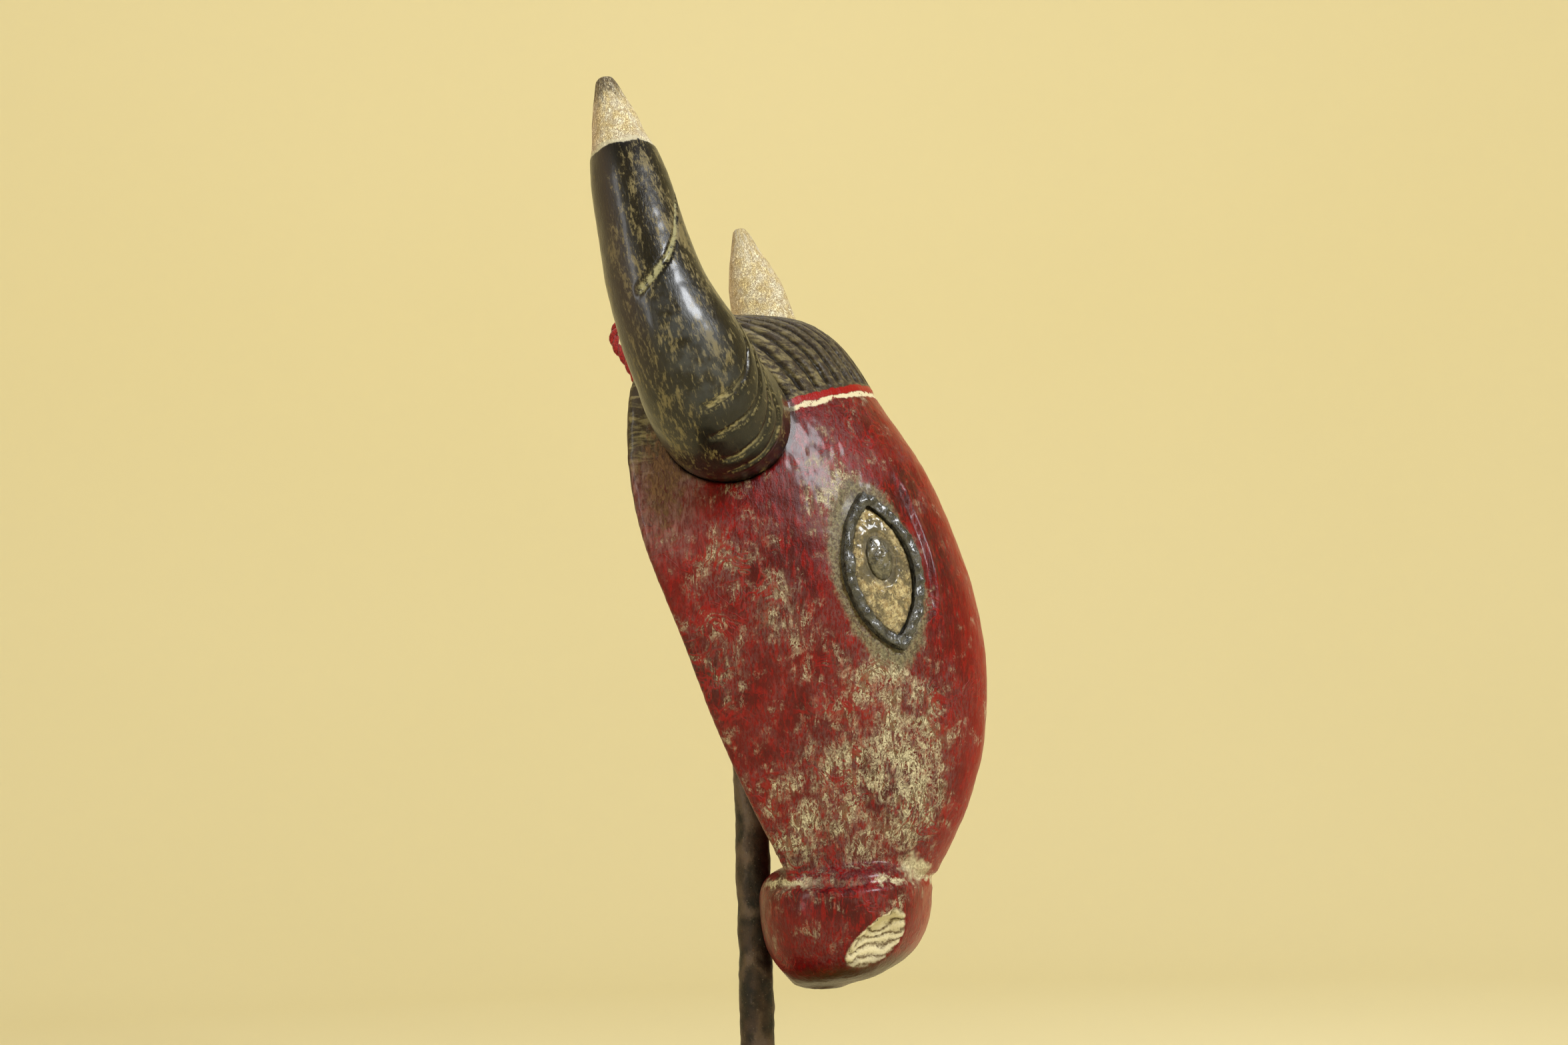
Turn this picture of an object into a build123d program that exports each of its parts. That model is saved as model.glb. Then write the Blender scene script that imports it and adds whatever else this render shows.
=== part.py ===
"""Carved wooden bull-head mask, hung on an iron post with a heavy foot plate.

Millimetres, +Z up. The origin is the middle of the stand's underside, on the post's axis.
The mask faces -Y, so a distance "forward" is a distance along -Y. X runs across the face.
"""
from build123d import *
import math
import os

os.makedirs("parts", exist_ok=True)

# ---- Stand ----
PLATE_WIDTH = 150.0
PLATE_DEPTH = 130.0
PLATE_THICK = 10.0
PLATE_CORNER = 9.0
PLATE_EDGE = 1.2
FELT_THICK = 2.0
FELT_INSET = 2.0
POST_RADIUS = 7.0
COLLAR_RADIUS = 13.0
COLLAR_HEIGHT = 9.0
SCREW_RADIUS = 3.0
SCREW_HEAD_RADIUS = 6.0
SCREW_HEAD_HEIGHT = 3.0
SCREW_GRIP = 18.0
SOCKET_RADIUS = 2.2
SOCKET_DEPTH = 2.2

# ---- Swivelling rest on top of the post ----
PIN_RADIUS = 3.5
PIN_LENGTH = 26.0
PIN_CLEARANCE = 0.05
BODY_GAP = 0.3
POST_GAP = 0.5
REST_RADIUS = 10.0
REST_THICK = 3.0
PAD_THICK = 4.0
PAD_ROUND = 1.6
RIVET_RADIUS = 1.6
RIVET_SPREAD = 6.5

# ---- Mask: carved head ----
# From chin to crown: height, back rim, front of the face, half width.
HEAD_STATIONS = [
    (113.0, 24.0, 65.0, 29.0),
    (128.0, 17.6, 74.6, 34.0),
    (145.0, 10.4, 83.2, 40.0),
    (165.0, 2.8, 89.8, 46.5),
    (192.0, -5.8, 92.9, 54.5),
    (220.0, -14.6, 90.4, 61.5),
    (250.0, -24.4, 82.2, 65.0),
    (279.0, -28.6, 70.0, 64.0),
    (305.0, -28.0, 54.4, 58.5),
    (324.0, -22.0, 42.5, 46.0),
    (334.5, -12.0, 30.5, 30.0),
    (338.5, 0.0, 20.0, 12.0),
]
# The muzzle block below it, rounded at the back where it leans on the post.
MUZZLE_STATIONS = [
    (80.0, 21.0, 34.0, 13.0),
    (84.0, 14.5, 46.0, 25.0),
    (91.0, 9.0, 58.0, 33.0),
    (100.0, 5.2, 64.6, 37.0),
    (109.0, 4.0, 67.0, 38.5),
    (117.0, 4.2, 67.4, 37.0),
    (123.0, 8.5, 66.0, 33.0),
    (127.0, 18.0, 62.0, 26.0),
]
# The carved hollow: height, depth forward of the post's axis, half width.
HOLLOW_STATIONS = [
    (146.0, 12.0, 14.0),
    (160.0, 46.0, 26.0),
    (185.0, 70.0, 38.0),
    (215.0, 76.0, 47.0),
    (250.0, 69.0, 49.0),
    (280.0, 55.0, 44.0),
    (304.0, 38.0, 35.0),
    (318.0, 20.0, 22.0),
]
FACE_POWER = 1.8
MUZZLE_POWER = 2.3
HOLLOW_POWER = 2.0
HOLLOW_REACH = 70.0
ROOF_HEIGHT = HOLLOW_STATIONS[-1][0]
EYE_TILT = 15.0

# ---- Horns ----
HORN_SEAT = 50.0
HORN_ROOT_END = 66.0
HORN_ROOT = (8.0, 288.5)
HORN_ROOT_RADIUS = 23.0
# Outward, forward, height and radius, from the root's end to the tip.
HORN_STATIONS = [
    (79.0, 8.6, 290.0, 22.8),
    (92.0, 7.6, 296.5, 22.2),
    (100.5, 4.6, 306.5, 21.0),
    (104.8, -0.4, 318.5, 18.8),
    (106.3, -5.2, 333.5, 16.9),
    (106.4, -8.6, 348.0, 15.4),
    (105.7, -12.0, 363.0, 14.2),
    (104.7, -15.4, 377.5, 12.0),
    (104.0, -18.2, 389.0, 8.2),
    (103.6, -20.2, 398.5, 4.8),
    (103.3, -22.0, 406.0, 2.0),
]
DOWEL_RADIUS = 6.0
DOWEL_LENGTH = 26.0

# ---- Eyes ----
EYE_CENTRE = (41.0, 61.5, 232.0)
EYE_YAW = 36.0
EYE_LONG = 30.5
EYE_WIDE = 16.0
EYE_POCKET = 4.2
EYE_RIM = 4.4
EYE_RIM_END = 6.0
EYE_RIM_PROUD = 2.2
INLAY_THICK = 4.0
PUPIL_SIZE = (5.2, 8.6, 2.8)
PUPIL_RAISED = 5.0
PUPIL_SEAT = 1.0

# ---- Nostrils ----
NOSTRIL_CENTRE = (29.5, 54.0, 95.0)
NOSTRIL_SIZE = (6.5, 9.0, 15.5)
NOSTRIL_SLOPE = 42.0
NOSTRIL_YAW = 22.0

# ---- Hanging loop of yarn ----
CORD_RADIUS = 2.1
CORD_HOLE = (0.0, 15.6)
CORD_HOLE_RADIUS = 3.4
CORD_HOLE_DEPTH = 28.0
KNOT_CENTRE = (0.0, 37.4, 309.4)
KNOT_RADIUS = 4.4
# Across, back and height of each point: from the knot, up through the crown and over behind.
CORD_ROUTE = [
    (1.4, 36.4, 308.9),
    (0.8, 24.8, 308.7),
    (0.0, 15.6, 318.0),
    (0.0, 15.6, 334.0),
    (-0.4, 24.6, 343.2),
    (-1.0, 37.2, 343.6),
    (-1.6, 46.6, 334.6),
    (-1.8, 46.9, 321.4),
    (-1.2, 38.4, 310.2),
]

PLATE_TOP = FELT_THICK + PLATE_THICK
PAD_TOP = ROOF_HEIGHT - BODY_GAP
PAD_BOTTOM = PAD_TOP - PAD_THICK
REST_BOTTOM = PAD_BOTTOM - REST_THICK
POST_TOP = REST_BOTTOM - BODY_GAP


def save(shape, node):
    """Write one piece to its own file."""
    shape.label = node
    export_step(shape, f"parts/{node}.step")


def upright(radius, low, high, x=0.0, y=0.0):
    """A cylinder that stands on the height low and ends at the height high."""
    return Pos(x, y, (low + high) / 2) * Cylinder(radius, high - low)


def sign_power(value, power):
    """Raise the size of a value to a power and keep its sign."""
    return math.copysign(abs(value) ** power, value)


# ---- Carved head ----

def front_points(back, front, half_width, power):
    """Points round the front of a section, from the -X rim to the +X rim."""
    points = []
    for degrees in range(-90, 91, 15):
        angle = math.radians(degrees)
        across = half_width * sign_power(math.sin(angle), 2 / power)
        forward = back + (front - back) * abs(math.cos(angle)) ** (2 / power)
        points.append((across, -forward))
    return points


def head_section(height, back, front, half_width):
    """The D-shaped outline of the head at one height."""
    points = front_points(back, front, half_width, FACE_POWER)
    face_line = Spline(*points, tangents=[(0, -1), (0, 1)])
    return Pos(0, 0, height) * make_face(face_line + Line(points[-1], points[0]))


def muzzle_section(height, back, front, half_width):
    """The rounded box outline of the muzzle at one height."""
    middle = (front + back) / 2
    reach = (front - back) / 2
    points = []
    for degrees in range(0, 360, 20):
        angle = math.radians(degrees)
        across = half_width * sign_power(math.sin(angle), 2 / MUZZLE_POWER)
        forward = middle + reach * sign_power(math.cos(angle), 2 / MUZZLE_POWER)
        points.append((across, -forward))
    return Pos(0, 0, height) * make_face(Spline(*points, periodic=True))


def hollow_section(height, front, half_width):
    """The outline of the hollow at one height, running out through the back."""
    points = front_points(0.0, front, half_width, HOLLOW_POWER)
    inner_line = Spline(*points, tangents=[(0, -1), (0, 1)])
    open_end = Polyline(points[-1], (half_width, HOLLOW_REACH), (-half_width, HOLLOW_REACH), points[0])
    return Pos(0, 0, height) * make_face(inner_line + open_end)


def eye_frame(side):
    """The plane an eye lies in: its normal points out, its Y axis runs up the eye."""
    across, forward, height = EYE_CENTRE
    yaw = math.radians(EYE_YAW)
    tilt = math.radians(EYE_TILT)
    normal = Vector(side * math.cos(yaw), -math.sin(yaw), 0)
    up_face = Vector(0, math.sin(tilt), math.cos(tilt))
    along = up_face - normal * up_face.dot(normal)
    return Plane((side * across, -forward, height), x_dir=along.cross(normal), z_dir=normal)


def almond(half_length, half_width):
    """A pointed oval, drawn with two arcs, its long axis along Y."""
    right = ThreePointArc((0, -half_length), (half_width, 0), (0, half_length))
    left = ThreePointArc((0, half_length), (-half_width, 0), (0, -half_length))
    return make_face(right + left)


def eye_pocket(side):
    """The flat-floored pocket that holds the inlay and its rim."""
    plane = eye_frame(side)
    return plane * Pos(0, 0, -EYE_POCKET) * extrude(almond(EYE_LONG, EYE_WIDE), 20)


def nostril_cut(side):
    """The gouged hollow of one nostril."""
    across, forward, height = NOSTRIL_CENTRE
    depth, width, length = NOSTRIL_SIZE
    bowl = scale(Sphere(1), by=(depth, width, length))
    turned = Rot(0, 0, -side * NOSTRIL_YAW) * Rot(NOSTRIL_SLOPE, 0, 0) * bowl
    return Pos(side * across, -forward, height) * turned


def horn_root(side, reach):
    """The round root of a horn, from its seat in the head out to a distance."""
    forward, height = HORN_ROOT
    root = Rot(0, 90, 0) * Cylinder(HORN_ROOT_RADIUS, reach - HORN_SEAT)
    return Pos(side * (reach + HORN_SEAT) / 2, -forward, height) * root


def horn_dowel(side):
    """The peg that pins a horn's root through the wall of the head."""
    forward, height = HORN_ROOT
    peg = Rot(0, 90, 0) * Cylinder(DOWEL_RADIUS, DOWEL_LENGTH)
    return Pos(side * HORN_SEAT, -forward, height) * peg


def cord_hole():
    """The hole through the crown that the hanging loop is threaded through."""
    return upright(CORD_HOLE_RADIUS, ROOF_HEIGHT - 4, ROOF_HEIGHT + CORD_HOLE_DEPTH, *CORD_HOLE)


def post_channel():
    """The shallow channel behind the muzzle that the post lies in."""
    return upright(POST_RADIUS + POST_GAP, MUZZLE_STATIONS[0][0], HEAD_STATIONS[1][0])


def make_head():
    """The head and muzzle, carved from one block and hollowed from the back."""
    block = loft([head_section(*station) for station in HEAD_STATIONS])
    block += loft([muzzle_section(*station) for station in MUZZLE_STATIONS])
    block -= loft([hollow_section(*station) for station in HOLLOW_STATIONS])
    for side in (-1, 1):
        block -= horn_root(side, HORN_ROOT_END + 30)
        block -= horn_dowel(side)
        block -= eye_pocket(side)
        block -= nostril_cut(side)
    block -= post_channel()
    return (block - cord_hole()).solid()


# ---- Horns ----

def horn_sections(side):
    """Circles square to the horn's centre line, from the root's end to the tip."""
    forward, height = HORN_ROOT
    centres = [Vector(side * HORN_ROOT_END, -forward, height)]
    radii = [HORN_ROOT_RADIUS]
    for across, ahead, up, radius in HORN_STATIONS:
        centres.append(Vector(side * across, -ahead, up))
        radii.append(radius)
    line = Spline(*centres, tangents=[(side, 0, 0), centres[-1] - centres[-2]])
    sections = []
    for centre, radius in zip(centres, radii):
        along = line.tangent_at(line.param_at_point(centre))
        sections.append(Plane(centre, x_dir=(0, 1, 0), z_dir=along) * Circle(radius))
    return sections


def make_horn(side):
    """A horn that leaves the head sideways, turns up and leans back to its tip."""
    horn = loft(horn_sections(side)) + horn_root(side, HORN_ROOT_END)
    return (horn - horn_dowel(side)).solid()


# ---- Eyes ----

def make_eye_rim(side):
    """The raised bead of pitch round an eye."""
    outline = almond(EYE_LONG, EYE_WIDE) - almond(EYE_LONG - EYE_RIM_END, EYE_WIDE - EYE_RIM)
    return eye_frame(side) * Pos(0, 0, -EYE_POCKET) * extrude(outline, EYE_POCKET + EYE_RIM_PROUD)


def make_eye_inlay(side):
    """The pointed oval plate of an eye, with a shallow seat for the pupil."""
    plate = extrude(almond(EYE_LONG - EYE_RIM_END, EYE_WIDE - EYE_RIM), INLAY_THICK)
    plate -= Pos(0, 0, INLAY_THICK - PUPIL_SEAT) * pupil_blank()
    return eye_frame(side) * Pos(0, 0, -EYE_POCKET) * plate


def pupil_blank():
    """A low oval dome that stands on the plane Z = 0."""
    across, along, rise = PUPIL_SIZE
    dome = Pos(0, PUPIL_RAISED, 0) * scale(Sphere(1), by=(across, along, rise))
    return split(dome, bisect_by=Plane.XY, keep=Keep.TOP)


def make_pupil(side):
    """The dark domed pupil, seated in the inlay."""
    return eye_frame(side) * Pos(0, 0, INLAY_THICK - PUPIL_SEAT - EYE_POCKET) * pupil_blank()


# ---- Hanging loop ----

def corner_radii(points):
    """The largest fair arc at each corner of a route."""
    radii = []
    for before, corner, after in zip(points, points[1:], points[2:]):
        runs = (corner - before, after - corner)
        half_turn = math.radians(runs[0].get_angle(runs[1])) / 2
        radii.append(0.45 * min(runs[0].length, runs[1].length) / math.tan(half_turn))
    return radii


def make_cord():
    """The hanging loop: up through the crown, over and down behind the rim, to its knot."""
    points = [Vector(*point) for point in CORD_ROUTE]
    radii = corner_radii(points)
    print("cord radii:", [round(radius, 1) for radius in radii])
    path = FilletPolyline(*points, radius=radii)
    start = Plane(points[0], z_dir=path % 0)
    cord = sweep(start * Circle(CORD_RADIUS), path=path)
    print("cord length:", round(path.length, 1), "volume ratio:",
          round(cord.volume / (math.pi * CORD_RADIUS ** 2 * path.length), 3))
    return cord


def make_cord_knot(cord):
    """The knot that joins the loop's two ends."""
    return Pos(*KNOT_CENTRE) * Sphere(KNOT_RADIUS) - cord


# ---- Stand ----

def make_plate():
    """The iron foot plate, countersunk from below for the post's screw."""
    plate = extrude(RectangleRounded(PLATE_WIDTH, PLATE_DEPTH, PLATE_CORNER), PLATE_THICK)
    plate = chamfer(plate.faces().sort_by(Axis.Z)[-1].edges(), PLATE_EDGE)
    plate = Pos(0, 0, FELT_THICK) * plate
    plate -= upright(SCREW_RADIUS, FELT_THICK, PLATE_TOP)
    return plate - screw_head()


def make_felt():
    """The felt sheet glued under the plate, which the whole object stands on."""
    width = PLATE_WIDTH - 2 * FELT_INSET
    depth = PLATE_DEPTH - 2 * FELT_INSET
    return extrude(RectangleRounded(width, depth, PLATE_CORNER - FELT_INSET), FELT_THICK)


def screw_head():
    """The countersunk head, flush with the plate's underside."""
    middle = FELT_THICK + SCREW_HEAD_HEIGHT / 2
    return Pos(0, 0, middle) * Cone(SCREW_HEAD_RADIUS, SCREW_RADIUS, SCREW_HEAD_HEIGHT)


def make_screw():
    """The screw that holds the post down on the plate."""
    shank = upright(SCREW_RADIUS, FELT_THICK + SCREW_HEAD_HEIGHT, PLATE_TOP + SCREW_GRIP)
    socket = Pos(0, 0, FELT_THICK) * extrude(RegularPolygon(SOCKET_RADIUS, 6), SOCKET_DEPTH)
    return shank + screw_head() - socket


def make_collar():
    """The forged collar round the foot of the post."""
    ring = upright(COLLAR_RADIUS, PLATE_TOP, PLATE_TOP + COLLAR_HEIGHT)
    ring = chamfer(ring.faces().sort_by(Axis.Z)[-1].edges(), 2.5)
    return ring - upright(POST_RADIUS, PLATE_TOP, PLATE_TOP + COLLAR_HEIGHT)


def make_post():
    """The iron post, bored at the top for the rest's pin and below for the screw."""
    post = upright(POST_RADIUS, PLATE_TOP, POST_TOP)
    post -= upright(SCREW_RADIUS, PLATE_TOP, PLATE_TOP + SCREW_GRIP)
    return post - upright(PIN_RADIUS + PIN_CLEARANCE, POST_TOP - PIN_LENGTH - 1, POST_TOP)


def rivet_places():
    """The two rivets that hold the pad on the rest."""
    return [(-RIVET_SPREAD, 0.0), (RIVET_SPREAD, 0.0)]


def make_rest():
    """The round rest with the pin it turns on."""
    rest = upright(REST_RADIUS, REST_BOTTOM, PAD_BOTTOM)
    rest += upright(PIN_RADIUS, POST_TOP - PIN_LENGTH, REST_BOTTOM + 1)
    for x, y in rivet_places():
        rest -= upright(RIVET_RADIUS, REST_BOTTOM, PAD_BOTTOM, x, y)
    return rest


def make_pad():
    """The leather pad that the crown of the mask sits on."""
    pad = upright(REST_RADIUS, PAD_BOTTOM, PAD_TOP)
    pad = fillet(pad.faces().sort_by(Axis.Z)[-1].edges(), PAD_ROUND)
    for x, y in rivet_places():
        pad -= upright(RIVET_RADIUS, PAD_BOTTOM, PAD_TOP - 1, x, y)
    return pad


def make_rivet(place):
    """One rivet through the rest into the pad."""
    return upright(RIVET_RADIUS, REST_BOTTOM, PAD_TOP - 1, *place)


save(make_plate(), "base_plate")
save(make_felt(), "base_felt")
save(make_screw(), "post_screw")
save(make_collar(), "post_collar")
save(make_post(), "post")
save(make_rest(), "rest_pin")
save(make_pad(), "rest_pad")
for number, place in enumerate(rivet_places(), 1):
    save(make_rivet(place), f"rest_rivet_{number}")

save(make_head(), "head")
for side, name in ((-1, "left"), (1, "right")):
    save(make_horn(side), f"horn_{name}")
    save(horn_dowel(side), f"horn_dowel_{name}")
    save(make_eye_rim(side), f"eye_rim_{name}")
    save(make_eye_inlay(side), f"eye_inlay_{name}")
    save(make_pupil(side), f"pupil_{name}")
hanging_cord = make_cord()
save(hanging_cord, "hanging_cord")
save(make_cord_knot(hanging_cord), "cord_knot")
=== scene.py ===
# %% [markdown]
# # A carved bull-head mask on its iron post
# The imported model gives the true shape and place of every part. This lesson keeps those sizes
# and adds what a carver, a painter and a smith would leave on the surface: gouge marks, combed
# hair, chipped paint over primer, pitch round the eyes, and hammer marks on the iron.

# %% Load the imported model
import math
import bpy
import numpy as np
from mathutils import Matrix, Vector, noise


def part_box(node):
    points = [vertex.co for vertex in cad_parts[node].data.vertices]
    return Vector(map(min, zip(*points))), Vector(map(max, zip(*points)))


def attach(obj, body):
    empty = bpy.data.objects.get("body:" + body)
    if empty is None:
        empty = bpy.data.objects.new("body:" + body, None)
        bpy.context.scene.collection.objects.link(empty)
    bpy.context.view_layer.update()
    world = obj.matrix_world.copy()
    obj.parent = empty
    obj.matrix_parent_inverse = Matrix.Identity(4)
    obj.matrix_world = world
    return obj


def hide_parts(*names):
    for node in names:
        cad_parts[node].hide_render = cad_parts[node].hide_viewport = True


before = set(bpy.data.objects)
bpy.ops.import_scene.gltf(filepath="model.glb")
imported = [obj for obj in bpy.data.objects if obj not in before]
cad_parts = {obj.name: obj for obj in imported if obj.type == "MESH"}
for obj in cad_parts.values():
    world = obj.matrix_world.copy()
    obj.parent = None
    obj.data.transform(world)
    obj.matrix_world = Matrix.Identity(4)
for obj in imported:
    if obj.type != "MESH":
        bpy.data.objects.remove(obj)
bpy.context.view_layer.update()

MM = 0.001
print("parts in the frame:", len(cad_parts))

# %% [markdown]
# ## The camera
# The mask is seen from its left side, a little from in front and from below. A camera can be
# turned with three angles, but building its axes from an azimuth, an elevation and a small roll
# keeps each number readable. The camera comes first, because everything is judged through it.

# %% The camera and its small roll
AIM = Vector((0, -16.4, 257.9)) * MM
AZIMUTH = math.radians(-78)
ELEVATION = math.radians(-8)
ROLL = math.radians(1.8)
CAMERA_DISTANCE = 849 * MM


def camera_axes(azimuth, elevation, roll):
    """The right, up and back axes of a camera that looks at the object."""
    flat = math.cos(elevation)
    back = Vector((math.sin(azimuth) * flat, -math.cos(azimuth) * flat, math.sin(elevation)))
    level = Vector((math.cos(azimuth), math.sin(azimuth), 0))
    steep = back.cross(level)
    right = level * math.cos(roll) - steep * math.sin(roll)
    up = level * math.sin(roll) + steep * math.cos(roll)
    return right, up, back


def make_camera():
    """A camera with a normal lens, aimed between the horns and the chin."""
    right, up, back = camera_axes(AZIMUTH, ELEVATION, ROLL)
    lens = bpy.data.cameras.new("Camera")
    lens.lens = 50
    lens.sensor_width = 36
    lens.clip_end = 25
    camera = bpy.data.objects.new("Camera", lens)
    bpy.context.scene.collection.objects.link(camera)
    turned = Matrix((right, up, back)).transposed()
    camera.matrix_world = Matrix.Translation(AIM + back * CAMERA_DISTANCE) @ turned.to_4x4()
    bpy.context.scene.camera = camera
    return camera


camera = make_camera()
bpy.context.scene.view_settings.view_transform = "Standard"
print("camera at", [round(value, 3) for value in camera.matrix_world.translation])

# %% [markdown]
# ## Working on meshes
# Three ways to add carved detail were open: sculpting by hand, displacement modifiers with
# textures, or moving points in code. Code is chosen, because a groove can then follow the form
# exactly: round a horn, along the crown or round an eye. Each carved piece starts as a copy of
# its CAD mesh, gets an even skin of small faces from a voxel remesh, and is then cut.

# %% Selecting, copying and remeshing
def pick(piece):
    """Make one piece the only selected one, and the active one."""
    bpy.ops.object.select_all(action="DESELECT")
    piece.select_set(True)
    bpy.context.view_layer.objects.active = piece


def apply_modifier(piece, modifier):
    """Work a modifier into the mesh."""
    pick(piece)
    bpy.ops.object.modifier_apply(modifier=modifier.name)


def merged_copy(node, name):
    """A free copy of a CAD mesh, with its loose triangles joined."""
    piece = bpy.data.objects.new(name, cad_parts[node].data.copy())
    bpy.context.scene.collection.objects.link(piece)
    pick(piece)
    bpy.ops.object.mode_set(mode="EDIT")
    bpy.ops.mesh.select_all(action="SELECT")
    bpy.ops.mesh.remove_doubles(threshold=0.005 * MM)
    bpy.ops.object.mode_set(mode="OBJECT")
    return piece


def even_skin(piece, size):
    """Rebuild a piece's surface from faces of one small size, then relax it."""
    skin = piece.modifiers.new("Even skin", "REMESH")
    skin.mode = "VOXEL"
    skin.voxel_size = size
    apply_modifier(piece, skin)
    relax = piece.modifiers.new("Relax", "SMOOTH")
    relax.factor = 0.5
    relax.iterations = 2
    apply_modifier(piece, relax)
    print(piece.name, "has", len(piece.data.polygons), "faces")


# %% Reading and moving all points at once
def read_points(piece):
    """All the points of a piece in millimetres, one row each."""
    values = np.zeros(len(piece.data.vertices) * 3)
    piece.data.vertices.foreach_get("co", values)
    return values.reshape(-1, 3) / MM


def read_normals(piece):
    """The outward direction at each point."""
    values = np.zeros(len(piece.data.vertices) * 3)
    piece.data.vertex_normals.foreach_get("vector", values)
    return values.reshape(-1, 3)


def write_points(piece, points):
    """Move all the points of a piece to new places in millimetres."""
    piece.data.vertices.foreach_set("co", (points * MM).ravel())
    piece.data.update()


def store(piece, name, values):
    """Keep one number for each point, for the material to read."""
    layer = piece.data.attributes.new(name, "FLOAT", "POINT")
    layer.data.foreach_set("value", np.asarray(values, dtype=float))


def skinned_copy(node, name, size):
    """A free copy of a CAD node with an even skin, and its points and normals."""
    piece = merged_copy(node, name)
    even_skin(piece, size)
    return piece, read_points(piece), read_normals(piece)


def smooth_step(low, high, value):
    """0 below low, 1 above high, and a soft rise between them."""
    t = np.clip((value - low) / (high - low), 0, 1)
    return t * t * (3 - 2 * t)


def lumps(points, size, shift=0.0):
    """Soft noise from about -1 to 1, whose lumps are about size millimetres wide."""
    offset = Vector((shift, shift * 2, shift * 3))
    return np.array([noise.noise(Vector(point) / size + offset) for point in points])


def facets(points, size, shift=0.0):
    """The scooped pattern that a gouge leaves: low in each scoop and sharp between scoops."""
    offset = Vector((shift, shift, shift))
    depth = [noise.voronoi(Vector(point) / size + offset)[0][0] for point in points]
    return np.clip(np.array(depth), 0, 1)


def finish_mesh(piece, body, nodes):
    """Shade a piece smooth, put it on its body and let it stand for its CAD nodes."""
    pick(piece)
    bpy.ops.object.shade_smooth()
    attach(piece, body)
    if nodes:
        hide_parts(*nodes)
    return piece


# %% [markdown]
# ## The hanging loop
# A two-ply wool yarn goes up through a hole in the crown, over the back, and returns to its knot
# inside. A bent tube would look like wire, so the loop is a soft spline through listed
# points, and two plies are wound round it, as yarn is made.

# %% The loop's route
LOOP_ROUTE = [
    (1.4, 36.4, 308.9), (0.8, 24.8, 308.7), (0.0, 15.6, 318.0),
    (0.0, 15.6, 334.0), (-0.4, 25.4, 345.0), (-1.0, 40.0, 347.5),
    (-1.6, 53.5, 338.0), (-1.8, 42.5, 323.0), (-1.2, 38.4, 310.2),
]


def soft_line(points):
    """Close points on a spline that is drawn towards its own points and ends on them."""
    curve = bpy.data.curves.new("Soft line", "CURVE")
    curve.dimensions = "3D"
    spline = curve.splines.new("NURBS")
    spline.points.add(len(points) - 1)
    for knot, point in zip(spline.points, points):
        knot.co = (*(Vector(point) * MM), 1)
    spline.order_u = 3
    spline.use_endpoint_u = True
    spline.resolution_u = 14
    line = bpy.data.objects.new("Soft line", curve)
    bpy.context.scene.collection.objects.link(line)
    shape = bpy.data.meshes.new_from_object(line)
    close = [vertex.co.copy() for vertex in shape.vertices]
    bpy.data.meshes.remove(shape)
    bpy.data.objects.remove(line)
    return close


loop_line = soft_line(LOOP_ROUTE)
loop_length = sum((b - a).length for a, b in zip(loop_line, loop_line[1:]))
print("loop length in millimetres:", round(loop_length / MM, 1))

# %% Two plies wound round the route
PLY_RADIUS = 1.22
PLY_OFFSET = 0.92
PLY_PITCH = 9.5
PLY_SIDES = 10


def tube_rings(points, radii, sides):
    """Rings of points round a line, each turned the least from the one before."""
    rings = []
    side = Vector((1, 0, 0))
    for index, point in enumerate(points):
        before = points[max(index - 1, 0)]
        after = points[min(index + 1, len(points) - 1)]
        along = (after - before).normalized()
        side = (side - along * side.dot(along)).normalized()
        rise = along.cross(side)
        turns = [2 * math.pi * step / sides for step in range(sides)]
        ring = [point + (side * math.cos(t) + rise * math.sin(t)) * radii[index] for t in turns]
        rings.append(ring)
    return rings


def tube_faces(first, count, sides):
    """The faces between rings, and a cap at each end."""
    faces = []
    for ring in range(count - 1):
        for step in range(sides):
            a = first + ring * sides + step
            b = first + ring * sides + (step + 1) % sides
            faces.append((a, b, b + sides, a + sides))
    last = first + (count - 1) * sides
    faces.append(tuple(first + step for step in reversed(range(sides))))
    faces.append(tuple(last + step for step in range(sides)))
    return faces


def ply_line(points, phase):
    """One ply's own line: it winds round the route once in each pitch."""
    rings = tube_rings(points, [PLY_OFFSET * MM] * len(points), 72)
    wound = []
    travelled = 0.0
    for index, ring in enumerate(rings):
        if index:
            travelled += (points[index] - points[index - 1]).length
        turn = (travelled / (PLY_PITCH * MM) + phase) % 1.0
        wound.append(ring[int(turn * 72) % 72])
    return wound


def make_yarn(name, points, plies):
    """A piece of yarn along a line, as one mesh of several plies."""
    corners = []
    faces = []
    twist = []
    for ply in range(plies):
        line = ply_line(points, ply / plies)
        radii = [PLY_RADIUS * MM * (1 + 0.07 * noise.noise(p / (3 * MM))) for p in line]
        rings = tube_rings(line, radii, PLY_SIDES)
        faces += tube_faces(len(corners), len(rings), PLY_SIDES)
        for index, ring in enumerate(rings):
            corners += ring
            twist += [index * 0.55 + step / PLY_SIDES * 3 for step in range(PLY_SIDES)]
    mesh = bpy.data.meshes.new(name)
    mesh.from_pydata(corners, [], faces)
    piece = bpy.data.objects.new(name, mesh)
    bpy.context.scene.collection.objects.link(piece)
    store(piece, "twist", twist)
    return piece


yarn_loop = make_yarn("yarn_loop", loop_line, 2)
finish_mesh(yarn_loop, "mask", ["hanging_cord"])
print("yarn faces:", len(yarn_loop.data.polygons))

# %% The knot, three tight turns pulled into a bead
KNOT_TURNS = 3


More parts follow.
